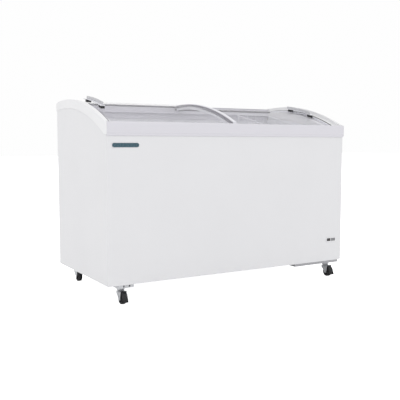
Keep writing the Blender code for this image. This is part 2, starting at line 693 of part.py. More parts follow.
def make_controller():
    """A small panel on the front with a display window and two push buttons."""
    back = FRONT - 0.0025
    bezel = solid_box("controller_bezel", (PANEL_X0, back, PANEL_Z0),
                      (PANEL_X1, FRONT - GAP, PANEL_Z1), CAP_WHITE)
    inset = PANEL_EDGE + GAP
    body = solid_box("add_controller_body", (PANEL_X0 + inset, FRONT - 0.001, PANEL_Z0 + inset),
                     (PANEL_X1 - inset, FRONT + 0.022, PANEL_Z1 - inset))
    join(bezel, body)
    window = (PANEL_X0 + 0.003, PANEL_X0 + 0.0285)
    z0, z1 = PANEL_Z0 + 0.003, PANEL_Z1 - 0.003
    cut(bezel, solid_box("cut_window", (window[0], FRONT - 0.01, z0), (window[1], FRONT - 0.0005, z1)))
    solid_box("display_window", (window[0] + GAP, FRONT - 0.0023, z0 + GAP),
              (window[1] - GAP, FRONT - 0.0005 - GAP, z1 - GAP), BLACK)
    for i, name in enumerate(("down_button", "up_button")):
        x0 = PANEL_X0 + 0.0320 + i * 0.0140
        x1 = x0 + 0.0125
        cut(bezel, solid_box(f"cut_{name}", (x0, FRONT - 0.01, z0), (x1, FRONT + 0.004, z1)))
        solid_box(name, (x0 + GAP, FRONT - 0.0033, z0 + GAP), (x1 - GAP, FRONT + 0.0015, z1 - GAP), BUTTON)


def make_badge():
    """A plain plate with rounded ends."""
    x0, x1, z = -HALF + 0.024, -HALF + 0.150, UNDERSIDE + 0.5985
    radius = 0.010
    outline = []
    for centre, start in ((x1 - radius, -math.pi / 2), (x0 + radius, math.pi / 2)):
        for i in range(9):
            turn = start + i * math.pi / 8
            outline.append((centre + radius * math.cos(turn), z + radius * math.sin(turn)))
    return plate("badge_plate", outline, FRONT - 0.0020, FRONT - GAP, "Y", BADGE)


# ---------------------------------------------------------------- casters


def make_bracket(name, x, y):
    """An open box of bent sheet between the cabinet's underside and a caster's plate."""
    low, high = CASTER_TOP + GAP, UNDERSIDE - GAP
    x0, x1 = -HALF + 0.050, -HALF + 0.126
    y0, y1 = (FRONT + 0.012, y + 0.040) if y < 0 else (y - 0.078, BACK - 0.004)
    bracket = solid_box(f"{name}_bracket", (x0, y0, low), (x1, y1, high), ZINC)
    hollow = solid_box(f"cut_{name}_bracket", (x0 + 0.002, y0 + 0.002, low + 0.002),
                       (x1 - 0.002, y1 - 0.002, 0.2))
    middle = (low + high) / 2
    slot = solid_box(f"cut_{name}_slot", (x - 0.008, y0 - 0.01, middle - 0.005),
                     (x - 0.003, y0 + 0.01, middle + 0.005))
    hole = rod(f"cut_{name}_hole", 0.004, (x + 0.021, y0 - 0.01, middle), 0.02, "Y", steps=12)
    return cut(bracket, hollow, slot, hole)


def make_caster(name, x, y):
    """A plate with its race and kingpin, a fork that swivels on it, and a wheel on the fork's axle."""
    top = CASTER_TOP
    plate_box = solid_box(f"{name}_caster_plate", (x - 0.030, y - 0.025, top - 0.002),
                          (x + 0.030, y + 0.025, top), ZINC)
    under = top - 0.0005 - RACE_Z
    race_and_pin = [(0, under), (0.016, under), (0.017, -0.003), (0.013, -0.0117), (0.0040, -0.0117),
                    (0.0040, -0.0172), (0.0070, -0.0172), (0.0070, -0.0195), (0, -0.0195)]
    join(plate_box, turned(f"add_{name}_race", race_and_pin, (x, y, RACE_Z), "Z", steps=20))
    make_fork(name, x, y)
    tyre, hub, bore = WHEEL_W / 2, 0.0125, 0.0046
    profile = [(bore, hub), (0.008, hub), (0.009, 0.007), (0.018, 0.007), (0.020, tyre), (0.0235, tyre),
               (WHEEL_R, tyre - 0.003)]
    mirrored = [(radius, -height) for radius, height in reversed(profile)]
    turned(f"{name}_wheel", profile + mirrored, (x, y - TRAIL, WHEEL_R), "X", TREAD, 32)


def make_fork(name, x, y):
    axle_y, axle_z = y - TRAIL, WHEEL_R
    pivot_y, pivot_z = y + PEDAL_PIVOT[0], PEDAL_PIVOT[1]
    bottom = [(axle_y + 0.008 * math.cos(t), axle_z + 0.008 * math.sin(t))
              for t in [math.radians(a) for a in (180, 210, 240, 270, 300, 330, 360)]]
    outline = [(pivot_y - 0.004, pivot_z + 0.003), (pivot_y - 0.004, pivot_z - 0.006), *bottom,
               (y + 0.012, 0.046), (y + 0.012, 0.0554), (y - 0.018, 0.0554), (pivot_y, pivot_z + 0.004)]
    fork = plate(f"{name}_fork", outline, x - CHEEK_OUT, x + CHEEK_OUT, "X", ZINC)
    between = [(y - 0.060, 0.0), (y + 0.040, 0.0), (y + 0.040, 0.0532), (y - 0.0185, 0.0532),
               (y - 0.0185, 0.080), (y - 0.060, 0.080)]
    gap = plate(f"cut_{name}_fork", between, x - CHEEK_IN, x + CHEEK_IN, "X")
    pin_hole = rod(f"cut_{name}_kingpin", 0.0046, (x, y, 0.045), 0.02, "Z", steps=16)
    axle = rod(f"add_{name}_axle", 0.0040, (x - 0.0165, axle_y, axle_z), 0.033, "X", steps=16)
    cut(fork, gap, pin_hole)
    join(fork, axle)
    if name.startswith("front"):
        cut(fork, rod(f"cut_{name}_pivot", 0.0024, (x - 0.03, pivot_y, pivot_z), 0.06, "X", steps=12))
        make_pedal(name, x, y)


def make_pedal(name, x, y):
    """A brake pedal hinged at the fork's front that curves over the wheel and ends in a toe."""
    axle = (y - TRAIL, WHEEL_R)

    def around(radius, degrees):
        """A point about the axle; the angle runs from straight up towards the front."""
        turn = math.radians(degrees)
        return axle[0] - radius * math.sin(turn), axle[1] + radius * math.cos(turn)

    outer = [around(0.0310, a) for a in range(14, 105, 10)]
    inner = [around(0.0283, a) for a in range(94, 13, -10)]
    toe = [(y - 0.0560, 0.0150), (y - 0.0545, 0.0125), around(0.0283, 104)]
    pedal = plate(f"{name}_pedal", outer + toe + inner, x - 0.0128, x + 0.0128, "X", BLACK)
    pivot = (x - 0.0148, y + PEDAL_PIVOT[0], PEDAL_PIVOT[1])
    barrel = rod(f"add_{name}_barrel", 0.0034, (x - 0.0128, *pivot[1:]), 0.0256, "X", steps=16)
    pin = rod(f"add_{name}_pin", 0.0018, pivot, 0.0296, "X", steps=12)
    return join(pedal, barrel, pin)


# ---------------------------------------------------------------- the freezer


clear_scene()
parts = new_collection("DisplayChestFreezer")
cutters = new_collection("Cutters")

make_wrap()
make_back_panel()
make_bottom_pan()
make_foam()
make_liner()
make_drain()
make_front_rail()
make_front_track()
make_rear_track()
make_rear_rail()
for side in (-1, 1):
    make_end_cap(side)
    make_lid(side)
make_basket()
make_base_tray()
make_compressor()
make_condenser()
make_fan()
make_pipe()
make_vent_grille()
make_service_cover()
make_power_inlet()
make_controller()
make_badge()
for caster, (caster_x, caster_y) in CASTERS.items():
    make_caster(caster, caster_x, caster_y)
    if caster.endswith("left"):
        make_bracket(caster, caster_x, caster_y)
cutters.hide_render = True
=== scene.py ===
"""Looks of the display chest freezer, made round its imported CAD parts.

Metres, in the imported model's frame: X runs along the front, the front faces -Y and +Z
is up. Each function makes one sub-part and names the CAD nodes that it stands for.
"""

import json
import math

import bmesh
import bpy
from mathutils import Matrix, Vector


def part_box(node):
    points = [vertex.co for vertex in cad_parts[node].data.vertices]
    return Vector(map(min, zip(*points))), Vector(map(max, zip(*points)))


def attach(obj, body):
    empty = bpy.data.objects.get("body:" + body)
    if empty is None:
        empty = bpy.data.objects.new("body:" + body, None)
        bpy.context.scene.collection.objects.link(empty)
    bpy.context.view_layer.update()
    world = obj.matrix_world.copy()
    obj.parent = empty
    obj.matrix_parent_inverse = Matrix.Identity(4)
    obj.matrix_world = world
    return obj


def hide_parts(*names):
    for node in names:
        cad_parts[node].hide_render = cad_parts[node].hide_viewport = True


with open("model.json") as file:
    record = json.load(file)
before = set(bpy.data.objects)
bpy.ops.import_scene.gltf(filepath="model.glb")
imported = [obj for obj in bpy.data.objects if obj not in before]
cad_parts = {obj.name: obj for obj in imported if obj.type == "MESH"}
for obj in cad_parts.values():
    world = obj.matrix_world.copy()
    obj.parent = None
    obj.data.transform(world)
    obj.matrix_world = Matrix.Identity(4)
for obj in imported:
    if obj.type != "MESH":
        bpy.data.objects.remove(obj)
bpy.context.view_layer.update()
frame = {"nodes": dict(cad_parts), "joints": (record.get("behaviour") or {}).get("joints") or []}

# Cabinet, from the frame
WRAP_LOW, WRAP_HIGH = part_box("outer_wrap")
HALF = WRAP_HIGH.x
FRONT = WRAP_LOW.y
BACK = WRAP_HIGH.y
UNDERSIDE = WRAP_LOW.z
DEPTH = BACK - FRONT
SHEET = 0.001
FOLD_R = 0.006

# Circles of the curved top, all about (CURVE_Y, CURVE_Z)
CURVE_Y = FRONT + 0.510
CURVE_Z = UNDERSIDE - 0.330
CAP_R = 1.144
WRAP_R = 1.124
LEDGE_R = 1.112
LINER_R = 1.072
SKIRT_R = 1.000
SKIRT_Z = UNDERSIDE - 0.228  # the skirt's own centre
ARC_STEPS = 72
ABOVE = 1.2  # a height over everything

# Top frame and tub
RAIL_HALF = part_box("rear_rail")[1].x
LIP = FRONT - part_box("front_rail")[0].y
REAR_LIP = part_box("rear_rail")[1].y - BACK
CAP_W = 0.030
CROWN_W = 0.014  # width of the cap's high part; the rest is the shelf
SHELF_R = 1.126
WALL = 0.062
TUB_X = HALF - WALL
STEP_X = 0.315  # the tub's floor steps up here, over the machine compartment
STEP_Z = 0.402
COVE_R = 0.014
RIM_FRONT = 0.747  # top of the basket's front rim

# Shading and light
SHARP = math.radians(32)
CAMERA_GLOW = 0.85  # what the floor sends to the camera, beside its light on everything
FLOOR_GLOW = 0.05
ROOM_LEVEL = 0.99


# ------------ materials


def nodes_of(name):
    """A new material, its Principled shader, and short ways to add and link nodes."""
    material = bpy.data.materials.new(name)
    material.use_nodes = True
    tree = material.node_tree
    return material, tree.nodes["Principled BSDF"], tree.nodes.new, tree.links.new


def put(node, values):
    """Sets several inputs of a shader node."""
    for name, value in values.items():
        node.inputs[name].default_value = value


def noise(new, link, size, detail=2.0, stretch=(1.0, 1.0, 1.0)):
    """A noise whose features are about the given size, longer along the stretched axes."""
    place = new("ShaderNodeTexCoord")
    mapping = new("ShaderNodeMapping")
    put(mapping, {"Scale": tuple(1.0 / (size * s) for s in stretch)})
    texture = new("ShaderNodeTexNoise")
    put(texture, {"Scale": 1.0, "Detail": detail})
    link(place.outputs["Object"], mapping.inputs["Vector"])
    link(mapping.outputs["Vector"], texture.inputs["Vector"])
    return texture.outputs["Fac"]


def swing(new, link, value, low, high):
    """The value's middle range, spread between two numbers."""
    spread_out = new("ShaderNodeMapRange")
    put(spread_out, {"From Min": 0.3, "From Max": 0.7, "To Min": low, "To Max": high})
    link(value, spread_out.inputs["Value"])
    return spread_out.outputs["Result"]


def shades(new, link, share, colour, dark, light):
    """The colour from its dark to its light shade, as the share goes from 0 to 1."""
    mix = new("ShaderNodeMix")
    mix.data_type = "RGBA"
    ends = ([c * dark for c in colour], [min(c * light, 1.0) for c in colour])
    put(mix, {6: (*ends[0], 1.0), 7: (*ends[1], 1.0)})
    link(share, mix.inputs[0])
    return mix.outputs[2]


def surface(name, slot, colour, rough, metal=0.0, mottle=0.02, patch=0.12, grain=0.002,
            relief=0.00002, uneven=0.06, stretch=(1.0, 1.0, 1.0), coat=0.0):
    """A finish whose colour and gloss drift softly, with a fine relief of a given grain."""
    material, shader, new, link = nodes_of(name)
    drift = swing(new, link, noise(new, link, patch, 3.0, stretch), 0.0, 1.0)
    link(shades(new, link, drift, colour, 1 - mottle, 1 + mottle), shader.inputs["Base Color"])
    gloss = noise(new, link, patch * 0.4, 4.0, stretch)
    rough_here = swing(new, link, gloss, max(rough - uneven, 0.02), rough + uneven)
    link(rough_here, shader.inputs["Roughness"])
    bump = new("ShaderNodeBump")
    put(bump, {"Distance": relief})
    link(noise(new, link, grain, 2.0, stretch), bump.inputs["Height"])
    link(bump.outputs["Normal"], shader.inputs["Normal"])
    put(shader, {"Metallic": metal, "Coat Weight": coat, "Coat Roughness": 0.15})
    material["slot"] = slot
    return material


def zinc(name, colour=(0.62, 0.63, 0.65)):
    """Zinc-plated sheet: dull metal with a faint crystal spangle."""
    material, shader, new, link = nodes_of(name)
    place = new("ShaderNodeTexCoord")
    cells = new("ShaderNodeTexVoronoi")
    put(cells, {"Scale": 160.0})
    link(place.outputs["Object"], cells.inputs["Vector"])
    link(shades(new, link, cells.outputs["Color"], colour, 0.86, 1.10), shader.inputs["Base Color"])
    link(swing(new, link, noise(new, link, 0.02, 4.0), 0.34, 0.50), shader.inputs["Roughness"])
    put(shader, {"Metallic": 0.75})
    material["slot"] = "zinc_steel"
    return material


def clear_glass():
    """Thin clear glass: a light veil with a gloss, and the faintest wiping marks."""
    material, shader, new, link = nodes_of("lid_glass")
    put(shader, {"Base Color": (0.86, 0.85, 0.92, 1.0), "Alpha": 0.14, "Specular IOR Level": 0.5})
    wipes = noise(new, link, 0.05, 5.0, (1.0, 3.0, 1.0))
    link(swing(new, link, wipes, 0.02, 0.06), shader.inputs["Roughness"])
    material["slot"] = "glass"
    return material


LOOKS = {
    "enamel": surface("white_enamel", "white_enamel", (0.76, 0.76, 0.775), 0.34, grain=0.0016,
                      relief=0.000012, mottle=0.008, patch=0.3, coat=0.15),
    "cap": surface("cap_moulding", "cap_plastic", (0.83, 0.83, 0.84), 0.46, grain=0.0007,
                   relief=0.00001, mottle=0.008, patch=0.2),
    "rail": surface("rail_extrusion", "rail_plastic", (0.70, 0.69, 0.735), 0.38, grain=0.0012,
                    relief=0.000006, mottle=0.012, patch=0.05, stretch=(30.0, 1.0, 1.0)),
    "liner": surface("liner_coating", "liner", (0.86, 0.86, 0.885), 0.40, grain=0.003,
                     mottle=0.012, patch=0.2),
    "foam": surface("cut_foam", "foam", (0.82, 0.70, 0.42), 0.95, grain=0.0018, relief=0.0006,
                    mottle=0.08, patch=0.03),
    "zinc": zinc("zinc_plate"),
    # Painted shade: the same zinc plating, darkened for the shadow that falls on the tray under the
    # cabinet.
    "tray": zinc("tray_zinc_painted_shade", (0.45, 0.45, 0.47)),
    "aluminium": surface("anodised_aluminium", "aluminium", (0.74, 0.74, 0.775), 0.30, 0.85,
                         grain=0.0006, relief=0.000006, patch=0.02, stretch=(25.0, 1.0, 1.0)),
    "white_trim": surface("white_trim", "aluminium", (0.80, 0.80, 0.84), 0.35, 0.1, grain=0.0008,
                          relief=0.000006, mottle=0.012, patch=0.05),
    "black": surface("black_moulding", "black_plastic", (0.018, 0.018, 0.020), 0.48, grain=0.0007,
                     mottle=0.15, patch=0.02),
    "seal": surface("seal_rubber", "black_plastic", (0.012, 0.012, 0.013), 0.70, grain=0.0010,
                    relief=0.00003, mottle=0.15, patch=0.02),
    "grey_seal": surface("grey_seal", "black_plastic", (0.26, 0.25, 0.28), 0.6, grain=0.0010,
                         mottle=0.08, patch=0.03),
    "handle": surface("handle_moulding", "handle_grey", (0.60, 0.60, 0.62), 0.42, grain=0.0005,
                      patch=0.03),
    "glass": clear_glass(),
    "tread": surface("wheel_rubber", "wheel_black", (0.016, 0.016, 0.017), 0.58, grain=0.0012,
                     relief=0.00006, mottle=0.3, patch=0.012, uneven=0.12),
    "wire": surface("coated_wire", "white_wire", (0.82, 0.82, 0.85), 0.36, mottle=0.01, patch=0.05),
    "copper": surface("copper_tube", "copper", (0.72, 0.38, 0.24), 0.32, 1.0, mottle=0.12, patch=0.02),
    "button": surface("button_moulding", "button_grey", (0.17, 0.17, 0.18), 0.50, grain=0.0005,
                      relief=0.00001, mottle=0.03, patch=0.01),
    "badge": surface("badge_face", "badge", (0.020, 0.075, 0.105), 0.26, grain=0.004,
                     relief=0.00001, mottle=0.10, patch=0.02, coat=0.5),
    "stoved": surface("stoved_paint", "compressor_black", (0.016, 0.016, 0.017), 0.38, grain=0.0015,
                      relief=0.00004, mottle=0.2, patch=0.03),
    "ink": surface("printed_mark", "button_grey", (0.42, 0.42, 0.44), 0.5, mottle=0.03, patch=0.004),
    "screen": surface("display_screen", "black_plastic", (0.045, 0.045, 0.048), 0.3, grain=0.004,
                      relief=0.000005, mottle=0.05, patch=0.01),
    "segment": surface("display_segment", "black_plastic", (0.10, 0.022, 0.018), 0.3, mottle=0.1,
                       patch=0.003),
}


# ------------ outlines


def spread(low, high, steps):
    """Evenly spaced numbers, both ends included."""
    return [low + (high - low) * i / steps for i in range(steps + 1)]


def rise(radius, y, centre_z=CURVE_Z):
    """Height of a circle of the curved top at y."""
    return centre_z + math.sqrt(radius**2 - (y - CURVE_Y) ** 2)


def arc(radius, y0, y1, centre_z=CURVE_Z, steps=ARC_STEPS):
    """Points (y, z) along a circle of the curved top."""
    return [(y, rise(radius, y, centre_z)) for y in spread(y0, y1, steps)]


def bend(centre, radius, start, turn, steps):
    """Points along a circle, from a start angle through a turn."""
    return [(centre[0] + radius * math.cos(t), centre[1] + radius * math.sin(t))
            for t in spread(start, start + turn, steps)]


def from_front(*pairs):
    """Outline points whose y is counted from the front panel and z from the underside."""
    return [(FRONT + y, UNDERSIDE + z) for y, z in pairs]


def filleted(points, radius, closed=True, steps=5):
    """The same line with its sharp corners rounded."""
    least = math.radians(18)
    corners = [Vector(p) for p in points]
    result = []
    for i, corner in enumerate(corners):
        at_end = not closed and i in (0, len(corners) - 1)
        before = corners[i - 1] - corner
        after = corners[(i + 1) % len(corners)] - corner
        turn = 0.0 if at_end else math.pi - before.angle(after)
        if turn < least:
            result.append(tuple(corner))
            continue
        reach = min(radius * math.tan(turn / 2), before.length * 0.48, after.length * 0.48)
        start = corner + before.normalized() * reach
        end = corner + after.normalized() * reach
        for t in spread(0.0, 1.0, steps):
            result.append(tuple(start * (1 - t) ** 2 + corner * 2 * t * (1 - t) + end * t**2))
    return result


def box_outline(low, high, radius=0.0, steps=5):
    """A rectangle between two corners in the plane, with rounded corners."""
    corners = [(low[0], low[1]), (high[0], low[1]), (high[0], high[1]), (low[0], high[1])]
    return filleted(corners, radius, steps=steps) if radius else corners


def front_outline(low, high, radius, grow=0.0):
    """A box's outline from the front, with rounded corners, larger all round by grow."""
    return box_outline((low.x - grow, low.z - grow), (high.x + grow, high.z + grow), radius)


# ------------ solids


ALONG = {
    "X": lambda u, v, w: (w, u, v),
    "Y": lambda u, v, w: (u, w, v),
    "Z": lambda u, v, w: (u, v, w),
}


def prism(outline, low, high, axis):
    """The outline, given in the plane across the axis, as a solid between two places."""
    bm = bmesh.new()
    rings = [[bm.verts.new(ALONG[axis](u, v, w)) for u, v in outline] for w in (low, high)]
    bm.faces.new(rings[0])
    bm.faces.new(rings[1][::-1])
    for i in range(len(outline)):
        bm.faces.new((rings[0][i - 1], rings[0][i], rings[1][i], rings[1][i - 1]))
    bmesh.ops.recalc_face_normals(bm, faces=bm.faces)
    return bm


def block(low, high):
    """A box between two corners."""
    return prism(box_outline(low, high), low[2], high[2], "Z")


def stand(solid, place, axis):
    """Turns a solid that stands along Z to another axis, and moves it to its place."""
    turns = {"X": Matrix.Rotation(math.pi / 2, 4, "Y"), "Y": Matrix.Rotation(-math.pi / 2, 4, "X")}
    solid.transform(Matrix.Translation(place) @ turns.get(axis, Matrix.Identity(4)))
    return solid


def lathe(profile, place=(0, 0, 0), axis="Z", steps=48):
    """A (radius, height) profile turned about an axis through the place."""
    bm = bmesh.new()
    points = [bm.verts.new((radius, 0.0, height)) for radius, height in profile]
    edges = [bm.edges.new(pair) for pair in zip(points, points[1:])]
    if profile[0][0] > 0:
        edges.append(bm.edges.new((points[-1], points[0])))
    bmesh.ops.spin(bm, geom=points + edges, cent=(0, 0, 0), axis=(0, 0, 1), angle=math.tau,
                   steps=steps, use_merge=True)
    bmesh.ops.remove_doubles(bm, verts=bm.verts, dist=1e-6)
    bmesh.ops.recalc_face_normals(bm, faces=bm.faces)
    return stand(bm, place, axis)


def rod(radius, length, place, axis, steps=32):
    """A round bar from a place along +axis."""
    return lathe([(0, length), (radius, length), (radius, 0), (0, 0)], place, axis, steps)


def soften(solid, width, segments=2, only=lambda edge: True):
    """Rounds the solid's sharp edges, or those that only() picks."""
    edges = [e for e in solid.edges if e.calc_face_angle(0.0) > SHARP and only(e)]
    bmesh.ops.bevel(solid, geom=edges, offset=width, segments=segments, profile=0.5, affect="EDGES",
                    clamp_overlap=True)
    return solid


def mesh_of(name, solid):
    """The solid as a mesh. The solid itself is freed."""
    mesh = bpy.data.meshes.new(name)
    solid.to_mesh(mesh)
    solid.free()
    return mesh


def in_scene(name, data):
    """A new object of this shape, light or camera, linked to the scene."""
    obj = bpy.data.objects.new(name, data)
    bpy.context.scene.collection.objects.link(obj)
    return obj


def combine(*solids):
    """Several solids as one."""
    whole = bmesh.new()
    for solid in solids:
        mesh = mesh_of("lump", solid)
        whole.from_mesh(mesh)
        bpy.data.meshes.remove(mesh)
    return whole


def boolean(solid, others, operation):
    """The solid after one exact Boolean with each of the others."""
    body, *helpers = [in_scene("helper", mesh_of("helper", each)) for each in (solid, *others)]
    for helper in helpers:
        step = body.modifiers.new("Step", "BOOLEAN")
        step.operation = operation
        step.solver = "EXACT"
        step.object = helper
    bpy.context.view_layer.update()
    graph = bpy.context.evaluated_depsgraph_get()
    mesh = bpy.data.meshes.new_from_object(body.evaluated_get(graph))
    result = bmesh.new()
    result.from_mesh(mesh)
    for helper in (body, *helpers):
        bpy.data.objects.remove(helper)
    return result


def carve(solid, *cutters):
    """The solid without the space of the cutters."""
    return boolean(solid, cutters, "DIFFERENCE")


def fuse(solid, *others):
    """The solids joined into one."""
    return boolean(solid, others, "UNION")


def above(radius, half_x=0.8):
    """Everything above a circle of the curved top."""
    y0, y1 = FRONT - 0.1, BACK + 0.1
    return prism(arc(radius, y0, y1) + [(y1, ABOVE), (y0, ABOVE)], -half_x, half_x, "X")


def arc_strip(low_r, high_r, y0, y1, x0, x1, steps=ARC_STEPS):
    """A strip between two circles of the curved top."""
    outline = arc(low_r, y0, y1, steps=steps) + arc(high_r, y1, y0, steps=steps)
    return prism(outline, x0, x1, "X")


# ------------ pieces


def ride_as(obj, look, body, stands_for):
    """Gives the piece its finish and the body that carries it, and hides the CAD nodes it stands for."""
    obj.data.materials.append(LOOKS[look])
    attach(obj, body)
    if stands_for:
        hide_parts(*stands_for)
    return obj


def middle_of(node):
    """The middle (x, y, z) of a CAD node's box."""
    return [(low + high) / 2 for low, high in zip(*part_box(node))]


def across(side, near, far):
    """Two places on one side of the cabinet, as an ordered pair of x."""
    return sorted((side * near, side * far))


def upright(edge):
    """Whether a solid's edge stands up."""
    return abs(edge.verts[0].co.z - edge.verts[1].co.z) > 0.01


def room_in(low, high, wall=0.002):
    """The space inside an open box of this wall, reaching out of its top."""
    inset = Vector((wall, wall, wall))
    return block(low + inset, high - inset + Vector((0, 0, 0.1)))


def add(name, solid, look, body="cabinet", stands_for=()):
    """A piece of this solid, shaded smooth between its sharp edges."""
    for face in solid.faces:
        face.smooth = True
    for edge in solid.edges:
        edge.smooth = edge.calc_face_angle(0.0) < SHARP
    obj = in_scene(name, mesh_of(name, solid))
    normals = obj.modifiers.new("Normals", "WEIGHTED_NORMAL")
    normals.keep_sharp = True
    return ride_as(obj, look, body, stands_for)


def add_wires(name, paths, radius, look, body="cabinet", stands_for=(), closed=False):
    """Round wires along several lines, as one piece."""
    curve = bpy.data.curves.new(name, "CURVE")
    curve.dimensions = "3D"
    curve.bevel_depth = radius
    curve.bevel_resolution = 3
    curve.use_fill_caps = True
    for path in paths:
        spline = curve.splines.new("POLY")
        spline.points.add(len(path) - 1)
        for point, place in zip(spline.points, path):
            point.co = (*place, 1.0)
        spline.use_cyclic_u = closed
    return ride_as(in_scene(name, curve), look, body, stands_for)


def keep(look, *nodes):
    """Gives CAD nodes whose shape is already right their finish."""
    for name in nodes:
        node = frame["nodes"][name]
        for place in node.material_slots:
            place.material = LOOKS[look]


def screw_head(place, axis, radius=0.0035, tall=0.0016):
    """A low pan head with a cross recess, standing on a face."""
    dome = [(0.0, tall), (radius * 0.45, tall * 0.96), (radius * 0.8, tall * 0.7), (radius, tall * 0.2),
            (radius, -0.0002), (0.0, -0.0002)]
    head = lathe(dome, steps=20)
    reach, half = radius * 0.55, radius * 0.11
    arms = [block((-x, -y, tall * 0.45), (x, y, tall * 2)) for x, y in ((reach, half), (half, reach))]
    return stand(carve(head, *arms), place, axis)


# ------------ cabinet


def plan(inset):
    """The skin's line seen from above, moved in by the inset."""
    line = [(-HALF + inset, BACK)]
    for side, start in ((-1, math.pi), (1, 1.5 * math.pi)):
        centre = (side * (HALF - FOLD_R), FRONT + FOLD_R)
        line += bend(centre, FOLD_R - inset, start, math.pi / 2, 10)
    return [*line, (HALF - inset, BACK)]


def make_skin():
    """The folded sheet round the front and sides, open behind the grille and the controller."""
    sheet = prism(plan(0.0) + plan(SHEET)[::-1], UNDERSIDE, ABOVE - 0.1, "Z")
    low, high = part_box("side_vent_grille")
    edge = 0.010
    vent = block((HALF - 0.01, low.y + edge, low.z + edge),
                 (HALF + 0.01, high.y - edge, high.z - edge))
    low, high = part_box("controller_bezel")
    edge = 0.0025
    window = block((low.x + edge, FRONT - 0.01, low.z + edge),
                   (high.x - edge, FRONT + 0.01, high.z - edge))
    add("cabinet_skin", carve(sheet, above(WRAP_R), vent, window), "enamel", stands_for=["outer_wrap"])


def tub_space(grow, cove):
    """The tub's space with its step, larger all round by grow, its edges but the step's rounded."""
    floor = UNDERSIDE + WALL
    outline = [
        (-TUB_X - grow, floor - grow),
        (STEP_X + grow, floor - grow),
        (STEP_X + grow, STEP_Z - grow),
        (TUB_X + grow, STEP_Z - grow),
        (TUB_X + grow, ABOVE - 0.1),
        (-TUB_X - grow, ABOVE - 0.1),
    ]
    space = prism(outline, FRONT + WALL - grow, BACK - WALL + grow, "Y")
    step = Vector((STEP_X + grow, 0, STEP_Z - grow))
    return soften(space, cove, 5, lambda e: any((v.co - step).xz.length > 1e-4 for v in e.verts))


def make_liner():
    """The coved tub."""
    x, y, _ = middle_of("drain_tube")
    drain = rod(0.0115, 0.1, (x, y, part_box("drain_tube")[0].z), "Z")
    tub = carve(tub_space(SHEET, COVE_R + SHEET), tub_space(0.0, COVE_R), above(LINER_R), drain)
    add("tub_liner", tub, "liner", stands_for=["inner_liner"])


def make_drain():
    """The drain's flanged tube, and its plug with a finger tab."""
    low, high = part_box("drain_tube")
    x, y, _ = middle_of("drain_tube")
    flange = high.z
    tube = lathe([(0.018, flange - 0.0006), (0.0174, flange), (0.0105, flange), (0.0085, flange - 0.001),
                  (0.0085, low.z), (0.0105, low.z), (0.0105, flange - 0.002), (0.018, flange - 0.002)],
                 (x, y, 0))
    add("drain_funnel", tube, "cap", stands_for=["drain_tube"])
    low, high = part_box("drain_plug")
    top = high.z
    plug = lathe([(0, top - 0.002), (0.008, top - 0.002), (0.010, top), (0.012, top - 0.0015),
                  (0.014, top - 0.005), (0.014, top - 0.010), (0.0078, top - 0.010),
                  (0.0072, low.z + 0.001), (0.0062, low.z), (0, low.z)], (x, y, 0))
    add("drain_stopper_rubber", plug, "seal", "drain_stopper", ["drain_plug"])


def make_end_cap(side, name):
    """The moulded band over a side's curved top: a crown, a lower shelf inside it, and a ledge."""
    back = DEPTH + REAR_LIP
    outline = from_front((-LIP, 0.642), (-LIP, 0.6935), (0.001, 0.6970))
    outline += arc(CAP_R, FRONT + 0.010, FRONT + 0.605)
    outline += from_front((0.630, 0.8050), (back, 0.799), (back, 0.764))
    outline += arc(SKIRT_R, FRONT + 0.632, FRONT + 0.018, SKIRT_Z)
    reach = HALF + 0.003
    cap = prism(filleted(outline, 0.005), *across(side, reach, HALF - CAP_W), "X")
    soften(cap, 0.0028, 4, lambda e: all(abs(v.co.x - side * reach) < 1e-5 for v in e.verts))
    x0, x1 = across(side, HALF - 0.001, 0.5)
    rail_room = block((x0, FRONT - 0.1, 0.5), (x1, FRONT + 0.0123, ABOVE))
    shelf = arc_strip(SHELF_R, SHELF_R + 0.1, FRONT - 0.02, FRONT + 0.600,
                      *across(side, HALF - CROWN_W, 0.5))
    ledge = arc_strip(LINER_R + 0.0005, LEDGE_R, FRONT + 0.0665, FRONT + 0.5600,
                      *across(side, HALF - CAP_W + 0.004, TUB_X))
    moulding = carve(fuse(cap, soften(ledge, 0.0012)), rail_room, shelf)
    add(f"{name}_cap_moulding", moulding, "cap", stands_for=[f"{name}_end_cap"])


def make_rails():
    """The two outer rails, each one extruded section; the lid tracks keep their shape."""
    front = from_front(
        (-LIP + 0.0015, 0.638), (-LIP + 0.0015, 0.648), (-LIP, 0.650), (-LIP, 0.6965), (0.012, 0.6965),
        (0.012, 0.6775), (0.009, 0.6775), (0.009, 0.6935), (-0.002, 0.6935), (-0.002, 0.641),
        (-0.0004, 0.641), (-0.0004, 0.638),
    )
    back = DEPTH + REAR_LIP
    rear = from_front(
        (DEPTH + 0.0004, 0.764), (back, 0.764), (back, 0.806), (0.612, 0.806), (0.612, 0.8038),
        (0.6388, 0.8038), (0.6388, 0.7662), (DEPTH + 0.0004, 0.7662),
    )
    for name, outline, half in (("front_rail", front, HALF - 0.0013), ("rear_rail", rear, RAIL_HALF)):
        section = prism(filleted(outline, 0.0055, steps=7), -half, half, "X")
        add(f"{name}_extrusion", section, "rail", stands_for=[name])
    keep("rail", "front_lid_track", "rear_lid_track")


def make_back_details():
    """The back panel's rivets, and the finish of the sheets and foam that keep their shape."""
    low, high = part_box("back_panel")
    inset = 0.012
    columns = spread(low.x + inset, high.x - inset, 8)
    rows = spread(low.z + inset, high.z - inset, 5)
    places = [(x, z) for x in columns for z in (rows[0], rows[-1])]
    places += [(x, z) for x in (columns[0], columns[-1]) for z in rows[1:-1]]
    dome = [(0, 0.0014), (0.0018, 0.0012), (0.0032, 0.0004), (0.0034, -0.0002), (0, -0.0002)]
    rivets = [lathe(dome, (x, BACK, z), "Y", 16) for x, z in places]
    add("back_panel_rivets", combine(*rivets), "zinc")
    keep("enamel", "back_panel")
    keep("zinc", "bottom_pan")
    keep("foam", "foam_insulation")


# ------------ lids


